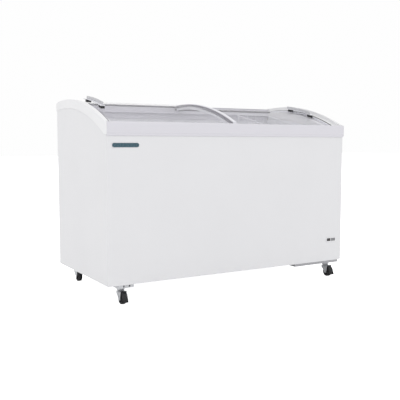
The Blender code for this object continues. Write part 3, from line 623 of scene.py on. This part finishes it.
LIDS = {  # bright: width of the light strip on the lap trim
    "left": {"side": -1, "radius": 1.1395, "bright": 0.0180},
    "right": {"side": 1, "radius": 1.1245, "bright": 0.0060},
}
LID_THICK = 0.011
GLASS_TOP = 0.003
GLASS_THICK = 0.005
BRUSH = 0.0085  # height of the brush on a rear runner
SEAL_W = 0.0015
FOOT_LONG = 0.026
HANDLE_BASE = 0.0088  # over the top of the lid's curve
HANDLE_TALL = 0.0245
FLANGE_THICK = 0.003
PLATE_X = HALF - 0.062
PLATE_THICK = 0.004
PLATE_INSET = 0.006


def make_glass(name, radius):
    """The curved pane, a little below the top of its trims."""
    low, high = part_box(f"{name}_lid_glass")
    pane = arc_strip(radius - GLASS_TOP - GLASS_THICK, radius - GLASS_TOP, low.y, high.y, low.x, high.x)
    add(f"{name}_glass_pane", soften(pane, 0.0007), "glass", f"{name}_lid", [f"{name}_lid_glass"])


def make_lap_trim(name, side, radius, bright):
    """The trim that passes the other lid: a bright outer strip beside a grey wiper."""
    low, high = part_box(f"{name}_lid_lap_trim")
    inner, outer = (low.x, high.x) if side < 0 else (high.x, low.x)
    split = outer + side * bright
    proud = radius + (0.0025 if side < 0 else 0.0)
    strip = arc_strip(radius - LID_THICK, proud, low.y, high.y, *sorted((split - side * 0.0003, outer)))
    wiper = arc_strip(radius - LID_THICK, radius - 0.0012, low.y, high.y, *sorted((inner, split)))
    add(f"{name}_lap_trim_strip", soften(strip, 0.0018, 3), "white_trim", f"{name}_lid",
        [f"{name}_lid_lap_trim"])
    add(f"{name}_lap_wiper", soften(wiper, 0.0015, 3), "grey_seal", f"{name}_lid")


def make_end_trim(name, side, radius):
    """The channel on the lid's outer end, with a seal lip that stands up beside it; the right lip's
    black is partly painted shadow of the gap between lid and cap.
    """
    low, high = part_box(f"{name}_lid_end_trim")
    # Partly painted shade: the right lid's lip is black for the shadowed gap between lid and cap, and
    # its channel white; on the left lid, channel and lip are both grey.
    seal, trim = ("grey_seal", "grey_seal") if side < 0 else ("seal", "white_trim")
    channel = arc_strip(radius - LID_THICK, radius - 0.0005, low.y, high.y, low.x, high.x)
    add(f"{name}_end_channel", soften(channel, 0.0010), trim, f"{name}_lid", [f"{name}_lid_end_trim"])
    edge = low.x if side < 0 else high.x
    lip = arc_strip(radius - 0.0085, radius + 0.0015, low.y, high.y,
                    *sorted((edge - side * 0.0020, edge + side * SEAL_W)))
    add(f"{name}_end_seal", soften(lip, 0.0006), seal, f"{name}_lid")


def make_handle(name, side, radius):
    """Two feet on the glass, a flange across them, and a thin plate with rounded corners on it."""
    for where in ("front", "rear"):
        node = f"{name}_handle_foot_{where}"
        low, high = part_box(node)
        foot = arc_strip(radius - GLASS_TOP + 0.0003, radius + HANDLE_BASE - 0.0003, low.y,
                         low.y + FOOT_LONG, low.x, high.x, steps=8)
        add(f"{name}_{where}_foot_block", soften(foot, 0.0020, 3), "black", f"{name}_lid", [node])
    low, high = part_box(f"{name}_lid_handle")
    base = radius + HANDLE_BASE
    flange = arc_strip(base, base + FLANGE_THICK, low.y, high.y, low.x, high.x, steps=24)
    add(f"{name}_handle_flange", soften(flange, 0.0009), "white_trim", f"{name}_lid")
    y0, y1 = low.y + PLATE_INSET, high.y - PLATE_INSET
    plate_line = arc(base + 0.0032, y0, y1, steps=24)
    plate_line += arc(radius + HANDLE_TALL, y1, y0, steps=24)
    plate = prism(filleted(plate_line, 0.008), *across(side, PLATE_X, PLATE_X - PLATE_THICK), "X")
    add(f"{name}_handle_plate", soften(plate, 0.0012, 3), "handle", f"{name}_lid",
        [f"{name}_lid_handle"])
    screw_x = 0.5 * (low.x + high.x) - side * 0.007
    heads = [screw_head((screw_x, y, rise(base + FLANGE_THICK, y)), "Z", 0.0028, 0.0012)
             for y in (low.y + 0.022, high.y - 0.022)]
    add(f"{name}_handle_screws", combine(*heads), "zinc", f"{name}_lid")


def make_runners(name):
    """The bars that slide in the tracks; the rear one carries a black brush along its top."""
    low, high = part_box(f"{name}_lid_front_runner")
    add(f"{name}_front_runner_bar", soften(block(low, high), 0.0014, 3), "aluminium", f"{name}_lid",
        [f"{name}_lid_front_runner"])
    low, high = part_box(f"{name}_lid_rear_runner")
    split = high.z - BRUSH
    bar = block(low, (high.x, high.y, split))
    brush = block((low.x, low.y, split), high)
    add(f"{name}_rear_runner_bar", soften(bar, 0.0010), "rail", f"{name}_lid",
        [f"{name}_lid_rear_runner"])
    add(f"{name}_rear_runner_brush", soften(brush, 0.0010), "black", f"{name}_lid")


def make_lids():
    """Both lids, each with all that slides with it."""
    for name, lid in LIDS.items():
        make_glass(name, lid["radius"])
        make_lap_trim(name, lid["side"], lid["radius"], lid["bright"])
        make_end_trim(name, lid["side"], lid["radius"])
        make_handle(name, lid["side"], lid["radius"])
        make_runners(name)


# ------------ basket


def make_basket():
    """Welded wires in the outline of the CAD basket, hung by a rim wire at its front and rear."""
    low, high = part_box("wire_basket")
    rim_r, wall_r, floor_r = 0.0026, 0.0019, 0.0016
    x0, x1 = low.x + rim_r, high.x - rim_r
    hook = 0.0122
    inset = 0.018  # from a corner to its nearest upright
    y0, y1 = low.y + hook + rim_r, high.y - hook - rim_r
    floor = low.z + rim_r
    slope = (high.z - RIM_FRONT) / (y1 - y0)

    def loop(z_front, z_rear):
        """A closed wire round the basket with rounded corners."""
        corners = [(x0, y0, z_front), (x1, y0, z_front), (x1, y1, z_rear), (x0, y1, z_rear)]
        return filleted(corners, 0.016)

    def rim_at(y):
        """Height of the sloping rim."""
        return RIM_FRONT - rim_r + slope * (y - y0)

    rims = [loop(rim_at(y0), rim_at(y1)), loop(floor, floor)]
    add_wires("basket_rim_wires", rims, rim_r, "wire", "basket", ["wire_basket"], closed=True)
    levels = [floor + 0.045 * i for i in (1, 2, 3)]
    add_wires("basket_level_wires", [loop(z, z) for z in levels], wall_r, "wire", "basket", closed=True)
    feet = [((x0, y), (x1, y)) for y in spread(y0 + inset, y1 - inset, 6)]
    feet += [((x, y0), (x, y1)) for x in spread(x0 + inset, x1 - inset, 3)]
    uprights = []
    for one, other in feet:
        line = [(*one, rim_at(one[1])), (*one, floor), (*other, floor), (*other, rim_at(other[1]))]
        uprights.append(filleted(line, 0.010, closed=False))
    add_wires("basket_upright_wires", uprights, wall_r, "wire", "basket")
    upper = floor + 2 * floor_r
    slats = [[(x, y0, floor), (x, y1, floor)] for x in spread(x0, x1, 11)[1:-1]]
    slats += [[(x0, y, upper), (x1, y, upper)] for y in spread(y0, y1, 18)[1:-1]]
    add_wires("basket_floor_wires", slats, floor_r, "wire", "basket")
    front_z, rear_z = RIM_FRONT - rim_r, high.z - rim_r
    hooks = []
    for x in (x0 + inset, (x0 + x1) / 2, x1 - inset):
        hooks.append([(x, low.y + 0.0018, front_z), (x, y0, front_z)])
        hooks.append([(x, high.y - 0.0018, rear_z), (x, y1, rear_z)])
    hooks.append([(x0 + 0.006, low.y + 0.002, front_z), (x1 - 0.006, low.y + 0.002, front_z)])
    hooks.append([(x0 + 0.006, high.y - 0.002, rear_z), (x1 - 0.006, high.y - 0.002, rear_z)])
    add_wires("basket_hanger_wires", hooks, wall_r, "wire", "basket")


# ------------ casters


WHEEL_R = 0.025
TRAIL = 0.018
CHEEK_OUT = 0.0155
CHEEK_IN = 0.0135
PEDAL_PIVOT = (-0.027, 0.0550)
RACE_Z = 0.0675


def make_top_plate(name, x, y, top):
    """The bolted plate, the swivel race under it and the kingpin's head."""
    plate = soften(prism(box_outline((x - 0.030, y - 0.025), (x + 0.030, y + 0.025), 0.006),
                         top - 0.002, top, "Z"), 0.0004)
    under = top - 0.0005 - RACE_Z
    race = lathe([(0, under), (0.0155, under), (0.0160, under - 0.001), (0.0160, 0.0), (0.0170, -0.0015),
                  (0.0170, -0.0045), (0.0145, -0.0095), (0.0130, -0.0117), (0.0040, -0.0117),
                  (0.0040, -0.0172), (0.0066, -0.0172), (0.0070, -0.0180), (0.0060, -0.0195),
                  (0, -0.0195)], (x, y, RACE_Z))
    bolts = []
    for place in ((x + i * 0.0225, y + j * 0.0180) for i in (-1, 1) for j in (-1, 1)):
        hexagon = bend(place, 0.0042, 0.0, math.tau, 6)[:-1]
        bolts.append(soften(prism(hexagon, top - 0.0052, top - 0.0019, "Z"), 0.0003))
    add(f"{name}_top_plate", combine(plate, race, *bolts), "zinc", stands_for=[f"{name}_caster_plate"])


def make_fork(name, x, y, brake):
    """Two pressed cheeks, the bridge that turns on the race, and the riveted axle."""
    axle_y = y - TRAIL
    pivot_y, pivot_z = y + PEDAL_PIVOT[0], PEDAL_PIVOT[1]
    foot = bend((axle_y, WHEEL_R), 0.008, math.pi, math.pi, 12)
    outline = [(pivot_y - 0.004, pivot_z + 0.003), (pivot_y - 0.004, pivot_z - 0.006), *foot,
               (y + 0.012, 0.046), (y + 0.012, 0.0554), (y - 0.018, 0.0554), (pivot_y, pivot_z + 0.004)]
    body = prism(filleted(outline, 0.003), x - CHEEK_OUT, x + CHEEK_OUT, "X")
    gap = prism([(y - 0.060, 0.0), (y + 0.040, 0.0), (y + 0.040, 0.0532), (y - 0.0185, 0.0532),
                 (y - 0.0185, 0.080), (y - 0.060, 0.080)], x - CHEEK_IN, x + CHEEK_IN, "X")
    holes = [rod(0.0046, 0.02, (x, y, 0.045), "Z")]
    if brake:
        holes.append(rod(0.0024, 0.06, (x - 0.03, pivot_y, pivot_z), "X", 20))
    fork = soften(carve(body, gap, *holes), 0.0004, 2)
    rivet = [(0, 0.0160), (0.0028, 0.0160), (0.0046, 0.0156), (0.0052, 0.0148)]
    axle = lathe(rivet + [(r, -h) for r, h in reversed(rivet)], (x, axle_y, WHEEL_R), "X", 24)
    add(f"{name}_fork_pressing", combine(fork, axle), "zinc", f"{name}_caster", [f"{name}_fork"])


def make_wheel(name, x, y):
    """A wheel with a crowned tread, a recessed web with ribs and a hub."""
    half = 0.0105
    side = [(0.0046, 0.0125), (0.0072, 0.0125), (0.0080, 0.0118), (0.0086, 0.0072), (0.0096, 0.0062),
            (0.0168, 0.0062), (0.0178, 0.0070), (0.0186, half - 0.0006), (0.0194, half),
            (0.0222, half), (0.0238, half - 0.0012), (0.0247, half - 0.0034), (WHEEL_R, 0.0030)]
    wheel = lathe(side + [(r, -h) for r, h in reversed(side)], steps=64)
    ribs = []
    for i in range(6):
        for face in (-1, 1):
            z0, z1 = sorted((face * 0.0058, face * 0.0084))
            rib = block((0.0080, -0.0008, z0), (0.0184, 0.0008, z1))
            rib.transform(Matrix.Rotation(i * math.tau / 6, 4, "Z"))
            ribs.append(soften(rib, 0.0003))
    whole = combine(wheel, *ribs)
    whole.transform(Matrix.Translation((x, y - TRAIL, WHEEL_R)) @ Matrix.Rotation(math.pi / 2, 4, "Y"))
    add(f"{name}_wheel_moulding", whole, "tread", f"{name}_caster_wheel", [f"{name}_wheel"])


def make_pedal(name, x, y):
    """The brake pedal: a bowed plate over the wheel with a ribbed toe and a hinge barrel."""
    axle = (y - TRAIL, WHEEL_R)
    half = 0.0128

    def around(radius, degrees):
        """A point about the axle; the angle runs from straight up towards the front."""
        turn = math.radians(degrees)
        return axle[0] - radius * math.sin(turn), axle[1] + radius * math.cos(turn)

    outer = [around(0.0310, a) for a in spread(14, 100, 16)]
    inner = [around(0.0283, a) for a in spread(100, 14, 16)]
    toe = [outer[-1], (y - 0.0558, 0.0150), (y - 0.0545, 0.0126), inner[0]]
    toe = filleted(toe, 0.002, closed=False)
    pedal = soften(prism(outer[:-1] + toe + inner[1:], x - half, x + half, "X"), 0.0007)
    pivot = (y + PEDAL_PIVOT[0], PEDAL_PIVOT[1])
    barrel = soften(rod(0.0034, 2 * half, (x - half, *pivot), "X", 24), 0.0004)
    ribs = []
    for degrees in spread(52, 92, 6):
        place = (x - 0.0100, *around(0.03115, degrees))
        ribs.append(soften(rod(0.0008, 0.0200, place, "X", 12), 0.0002))
    pin = rod(0.0018, 0.0296, (x - 0.0148, *pivot), "X", 16)
    add(f"{name}_brake_pedal", combine(pedal, barrel, *ribs), "black", f"{name}_brake",
        [f"{name}_pedal"])
    add(f"{name}_pedal_pin", pin, "zinc", f"{name}_brake")


def make_bracket(name, x):
    """An open box of bent sheet, with the slot and hole in its front."""
    low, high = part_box(f"{name}_bracket")
    shell = soften(block(low, high), 0.004, 4, upright)
    hollow = soften(room_in(low, high), 0.002, 4, upright)
    middle = (low.z + high.z) / 2
    slot_line = box_outline((x - 0.008, middle - 0.005), (x - 0.003, middle + 0.005), 0.0024)
    slot = prism(slot_line, low.y - 0.01, low.y + 0.01, "Y")
    hole = rod(0.004, 0.02, (x + 0.021, low.y - 0.01, middle), "Y")
    add(f"{name}_bracket_box", carve(shell, hollow, slot, hole), "zinc", stands_for=[f"{name}_bracket"])


def make_casters():
    """Four casters, the front ones with a brake, and the brackets over the left ones."""
    for name in ("front_left", "front_right", "rear_left", "rear_right"):
        x, y, _ = middle_of(f"{name}_caster_plate")
        brake = name.startswith("front")
        make_top_plate(name, x, y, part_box(f"{name}_caster_plate")[1].z)
        make_fork(name, x, y, brake)
        make_wheel(name, x, y)
        if brake:
            make_pedal(name, x, y)
        if name.endswith("left"):
            make_bracket(name, x)


# ------------ front details


PRINT_PROUD = 0.00012  # of a printed mark over its face


def seven_bars(digit, x, z, tall):
    """The bars of a seven-segment digit whose lower left corner is at (x, z)."""
    lit = {"-": "g", "1": "bc", "8": "abcdefg"}[digit]
    wide, half, bar = tall * 0.52, tall / 2, tall * 0.11
    spans = {
        "a": ((0, tall), (wide, tall)), "b": ((wide, half), (wide, tall)),
        "c": ((wide, 0), (wide, half)), "d": ((0, 0), (wide, 0)), "e": ((0, 0), (0, half)),
        "f": ((0, half), (0, tall)), "g": ((0, half), (wide, half)),
    }
    corners = []
    for key in lit:
        (u0, v0), (u1, v1) = spans[key]
        gap = bar * 0.9
        low = (x + u0 - bar / 2 + gap * (u1 > u0), z + v0 - bar / 2 + gap * (v1 > v0))
        high = (x + u1 + bar / 2 - gap * (u1 > u0), z + v1 + bar / 2 - gap * (v1 > v0))
        corners.append((low, high))
    return corners


def make_controller():
    """The temperature panel: a bezel, a dark window with three digits, and two arrow buttons."""
    low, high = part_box("controller_bezel")
    bezel = soften(prism(front_outline(low, high, 0.0025), low.y, FRONT - 0.0003, "Y"), 0.0006, 2)
    cutters = [prism(front_outline(*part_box(node), 0.0010, 0.0003), FRONT - 0.01, FRONT + 0.01, "Y")
               for node in ("display_window", "down_button", "up_button")]
    add("controller_frame", carve(bezel, *cutters), "cap", stands_for=["controller_bezel"])
    low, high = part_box("display_window")
    screen = soften(prism(front_outline(low, high, 0.0009), low.y, high.y, "Y"), 0.0003)
    add("display_glass", screen, "screen", stands_for=["display_window"])
    bars = []
    for i, digit in enumerate("-18"):
        for start, end in seven_bars(digit, low.x + 0.0045 + i * 0.0068, low.z + 0.0022, 0.0062):
            bars.append(prism(box_outline(start, end), low.y - PRINT_PROUD, low.y + 0.0004, "Y"))
    add("display_digits", combine(*bars), "segment")
    for node, up in (("down_button", -1), ("up_button", 1)):
        low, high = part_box(node)
        key = soften(prism(front_outline(low, high, 0.0010), low.y, high.y, "Y"), 0.0005, 2)
        add(f"{node}_cap", key, "button", f"{node}_key", [node])
        x, _, z = middle_of(node)
        arrow = [(x - 0.0022, z - up * 0.0012), (x + 0.0022, z - up * 0.0012), (x, z + up * 0.0020)]
        mark = prism(arrow, low.y - PRINT_PROUD, low.y + 0.0003, "Y")
        add(f"{node}_arrow", mark, "ink", f"{node}_key")


def stadium(low, high, inset=0.0):
    """A bar's outline with round ends, between two corners in the plane."""
    half = (high[1] - low[1]) / 2
    middle = (low[1] + high[1]) / 2
    line = bend((high[0] - half, middle), half - inset, -math.pi / 2, math.pi, 14)
    return line + bend((low[0] + half, middle), half - inset, math.pi / 2, math.pi, 14)


def make_badge():
    """A plain domed plate in a thin bright rim, with no mark on it."""
    low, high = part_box("badge_plate")
    corners = (low.x, low.z), (high.x, high.z)
    plate = prism(stadium(*corners, 0.0009), low.y + 0.0002, high.y, "Y")
    opening = prism(stadium(*corners, 0.0009), 2 * FRONT, 0, "Y")
    rim = carve(prism(stadium(*corners), low.y, high.y, "Y"), opening)
    add("badge_face_plate", soften(plate, 0.0005, 3), "badge", stands_for=["badge_plate"])
    add("badge_rim", rim, "aluminium")


# ------------ machine compartment


def slotted(outline, low, high, axis, slots):
    """A plate with slots through it."""
    plate = soften(prism(outline, low, high, axis), 0.0006, 2)
    cutters = [prism(stadium(*slot), low - 0.01, high + 0.01, axis) for slot in slots]
    return carve(plate, *cutters)


def make_vent_grille():
    """The side grille: a moulded plate with nine slots, a sloping blade behind each, and screws."""
    low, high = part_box("side_vent_grille")
    y0, y1, z0, z1 = low.y + 0.020, high.y - 0.020, low.z + 0.018, high.z - 0.018
    rows = spread(z0, z1, 9)
    slots = [((y0, start + 0.0040), (y1, end - 0.0040)) for start, end in zip(rows, rows[1:])]
    outline = box_outline((low.y, low.z), (high.y, high.z), 0.008)
    grille = slotted(outline, low.x, high.x, "X", slots)
    add("vent_grille_plate", grille, "cap", stands_for=["side_vent_grille"])
    blades = []
    for start, end in zip(rows, rows[1:]):
        z = (start + end) / 2
        line = [(HALF - 0.0010, z - 0.0090), (HALF - 0.0002, z - 0.0090), (HALF - 0.0100, z + 0.0070),
                (HALF - 0.0110, z + 0.0070)]
        blades.append(prism(line, y0 - 0.004, y1 + 0.004, "Y"))
    add("vent_grille_blades", combine(*blades), "cap")
    inset = 0.009
    heads = [screw_head((high.x - 0.0008, y, z), "X", tall=0.0011)
             for y in (low.y + inset, high.y - inset)
             for z in (low.z + inset, high.z - inset)]
    add("vent_grille_screws", combine(*heads), "zinc")


def make_service_cover():
    """The rear cover with its louvre slots and screws, and the gland for the mains lead."""
    low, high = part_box("rear_service_cover")
    x0, x1 = low.x + 0.030, high.x - 0.030
    rows = spread(0.165, 0.330, 8)
    slots = [((x0, z0 + 0.0046), (x1, z1 - 0.0046)) for z0, z1 in zip(rows, rows[1:])]
    outline = front_outline(low, high, 0.005)
    x, _, z = middle_of("power_inlet")
    inlet_hole = rod(0.0093, 0.04, (x, BACK - 0.02, z), "Y")
    plate = carve(slotted(outline, low.y, high.y, "Y", slots), inlet_hole)
    add("service_cover_plate", plate, "zinc", stands_for=["rear_service_cover"])
    inset = 0.010
    heads = [screw_head((hx, high.y, hz), "Y")
             for hx in (low.x + inset, (low.x + high.x) / 2, high.x - inset)
             for hz in (low.z + inset, high.z - inset)]
    add("service_cover_screws", combine(*heads), "zinc")
    profile = [(0.0090, -0.022), (0.0090, 0.0003), (0.0125, 0.0003), (0.0125, 0.0012),
               (0.0118, 0.0022), (0.0062, 0.0022), (0.0045, 0.0010), (0.0045, -0.022)]
    add("mains_gland", lathe(profile, (x, high.y, z), "Y"), "black", stands_for=["power_inlet"])


def make_compressor():
    """The sealed pot with its weld seam, foot plate on rubber grommets, and terminal box."""
    low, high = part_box("compressor")
    x, y = middle_of("compressor")[0], high.y - 0.074
    floor = low.z
    profile = [(0, 0.165), (0.030, 0.1635), (0.050, 0.157), (0.065, 0.143), (0.072, 0.124),
               (0.0735, 0.104), (0.0740, 0.101), (0.0740, 0.094), (0.0730, 0.092), (0.0735, 0.060),
               (0.071, 0.038), (0.062, 0.020), (0.040, 0.012), (0, 0.010)]
    pot = lathe(profile, (x, y, floor), steps=64)
    foot = soften(block((low.x, y - 0.055, floor + 0.006), (high.x, y + 0.055, floor + 0.012)), 0.002)
    box = block((x - 0.025, y - 0.092, floor + 0.050), (x + 0.025, y - 0.050, floor + 0.105))
    box = soften(box, 0.003, 3)
    add("compressor_pot", combine(pot, foot, box), "stoved", stands_for=["compressor"])
    bush = [(0, 0.016), (0.006, 0.016), (0.006, 0.012), (0.009, 0.012), (0.009, 0.006),
            (0.0105, 0.005), (0.0105, 0.0), (0, 0.0)]
    grommets = [lathe(bush, (x + i * 0.075, y + j * 0.042, floor), steps=24)
                for i in (-1, 1) for j in (-1, 1)]
    add("compressor_grommets", combine(*grommets), "seal")


def make_condenser():
    """A fin pack between two end plates, with the return bends of its tube."""
    low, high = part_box("condenser")
    half = 0.00025
    fins = [block((low.x + 0.002, y - half, low.z + 0.010), (high.x - 0.002, y + half, high.z - 0.008))
            for y in spread(low.y + 0.012, high.y - 0.012, 60)]
    plates = [soften(block((low.x, y, low.z), (high.x, y + 0.0015, high.z)), 0.0004)
              for y in (low.y + 0.006, high.y - 0.0075)]
    add("condenser_fins", combine(*fins, *plates), "aluminium", stands_for=["condenser"])
    levels = spread(low.z + 0.025, high.z - 0.022, 7)
    tubes = []
    ends = (low.y + 0.004, high.y - 0.004)
    for x in (low.x + 0.012, high.x - 0.012):
        line = []
        for i, z in enumerate(levels):
            line += [(x, y, z) for y in (ends if i % 2 == 0 else ends[::-1])]
        tubes.append(filleted(line, 0.010, closed=False, steps=6))
    add_wires("condenser_tubes", tubes, 0.0035, "copper")


def make_fan():
    """The motor on its post, and the fan's hub with five twisted blades."""
    fan_joint = next(j for j in frame["joints"] if j["child"] == "condenser_fan")
    x, y, z = fan_joint["pos_m"]
    nose = [(0, 0.014), (0.012, 0.0135), (0.0165, 0.011), (0.018, 0.007), (0.018, -0.010), (0, -0.010)]
    hub = lathe(nose, (x, y, z), "X", 32)
    shaft = rod(0.0030, 0.020, (x - 0.026, y, z), "X", 16)
    tall = 0.060
    blades = []
    for i in range(5):
        blade = block((-0.0008, -0.018, 0.0), (0.0008, 0.018, tall))
        bmesh.ops.subdivide_edges(blade, edges=blade.edges, cuts=5, use_grid_fill=True)
        for vert in blade.verts:
            share = vert.co.z / tall
            vert.co.y *= 0.72 + 0.28 * share
            vert.co.rotate(Matrix.Rotation(math.radians(38 - 16 * share), 3, "Z"))
        blade.transform(Matrix.Translation((x, y, z)) @ Matrix.Rotation(i * math.tau / 5, 4, "X")
                        @ Matrix.Translation((0, 0, 0.0155)))
        blades.append(blade)
    add("fan_rotor", combine(hub, shaft, *blades), "black", "condenser_fan", ["fan_blade"])
    low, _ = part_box("fan_motor")
    motor = lathe([(0.004, 0.045), (0.010, 0.045), (0.024, 0.042), (0.030, 0.036), (0.030, 0.006),
                   (0.027, 0.001), (0.004, 0.0)], (x - 0.060, y, z), "X", 40)
    post = block((x - 0.052, y - 0.012, low.z + 0.002), (x - 0.040, y + 0.012, z - 0.026))
    foot = block((low.x, y - 0.030, low.z), (x - 0.020, y + 0.030, low.z + 0.003))
    motor = combine(motor, soften(post, 0.001), soften(foot, 0.0006))
    add("fan_motor_can", motor, "stoved", stands_for=["fan_motor"])


def make_pipe():
    """The copper discharge pipe from the pot to the condenser."""
    low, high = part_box("discharge_pipe")
    radius = 0.003
    near = (low.x + radius, high.y - radius)
    far = (high.x - radius, low.y + radius)
    top = high.z - radius
    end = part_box("condenser")[1].z + 0.0003
    line = [(*near, low.z + 0.0005), (*near, top), (*far, top), (*far, end)]
    add_wires("discharge_tube", [filleted(line, 0.020, closed=False, steps=8)], radius, "copper",
              stands_for=["discharge_pipe"])


def make_tray():
    """The compressor's tray with its folded rim, in a darker zinc that paints the shade under the
    cabinet.
    """
    low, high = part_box("base_tray")
    tray = carve(soften(block(low, high), 0.003, 3, upright), room_in(low, high))
    add("machine_tray", tray, "tray", stands_for=["base_tray"])


# ------------ floor, light and camera


def make_stage():
    """A wide pale floor that glows almost to white for the camera, so its shadows stay faint."""
    bpy.ops.mesh.primitive_plane_add(size=60.0)
    floor = bpy.context.object
    floor.name = "studio_floor"
    material, shader, new, link = nodes_of("pale_floor")
    link(swing(new, link, noise(new, link, 0.8, 2.0), 0.55, 0.65), shader.inputs["Roughness"])
    put(shader, {"Base Color": (0.90, 0.90, 0.905, 1.0), "Specular IOR Level": 0.2,
                 "Emission Color": (1.0, 1.0, 1.0, 1.0)})
    ray = new("ShaderNodeLightPath")
    glow = new("ShaderNodeMath")
    glow.operation = "MULTIPLY_ADD"
    put(glow, {1: CAMERA_GLOW, 2: FLOOR_GLOW})
    link(ray.outputs["Is Camera Ray"], glow.inputs[0])
    link(glow.outputs["Value"], shader.inputs["Emission Strength"])
    floor.data.materials.append(material)


def soft_light(name, place, target, size, power):
    """A square light that faces the target."""
    lamp = bpy.data.lights.new(name, "AREA")
    lamp.size = size
    lamp.energy = power
    obj = in_scene(name, lamp)
    obj.location = place
    obj.rotation_euler = (Vector(target) - Vector(place)).to_track_quat("-Z", "Y").to_euler()


def make_lights():
    """An even white room with one broad light above the front left and a weaker one at the right."""
    world = bpy.data.worlds.new("white_room")
    bpy.context.scene.world = world
    world.use_nodes = True
    put(world.node_tree.nodes["Background"], {"Color": (1.0, 1.0, 1.0, 1.0), "Strength": ROOM_LEVEL})
    soft_light("key_light", (-2.2, -2.6, 3.4), (0, 0, 0.5), 3.0, 12.0)
    soft_light("side_light", (3.2, -1.8, 2.6), (0, 0, 0.5), 2.5, 5.0)


def make_camera():
    """The view of the object from its front left, a little above the middle."""
    camera = in_scene("camera", bpy.data.cameras.new("camera"))
    camera.location = (-1.6672, -2.7980, 0.6984)
    camera.rotation_euler = (math.radians(84.909), 0.0, math.radians(-30.536))
    camera.data.lens = 57.38
    camera.data.sensor_width = 36.0
    bpy.context.scene.camera = camera


make_camera()
make_lights()
make_stage()
make_skin()
make_liner()
make_drain()
make_end_cap(-1, "left")
make_end_cap(1, "right")
make_rails()
make_back_details()
make_lids()
make_basket()
make_casters()
make_controller()
make_badge()
make_vent_grille()
make_service_cover()
make_compressor()
make_condenser()
make_fan()
make_pipe()
make_tray()
bpy.context.scene.view_settings.view_transform = "Standard"
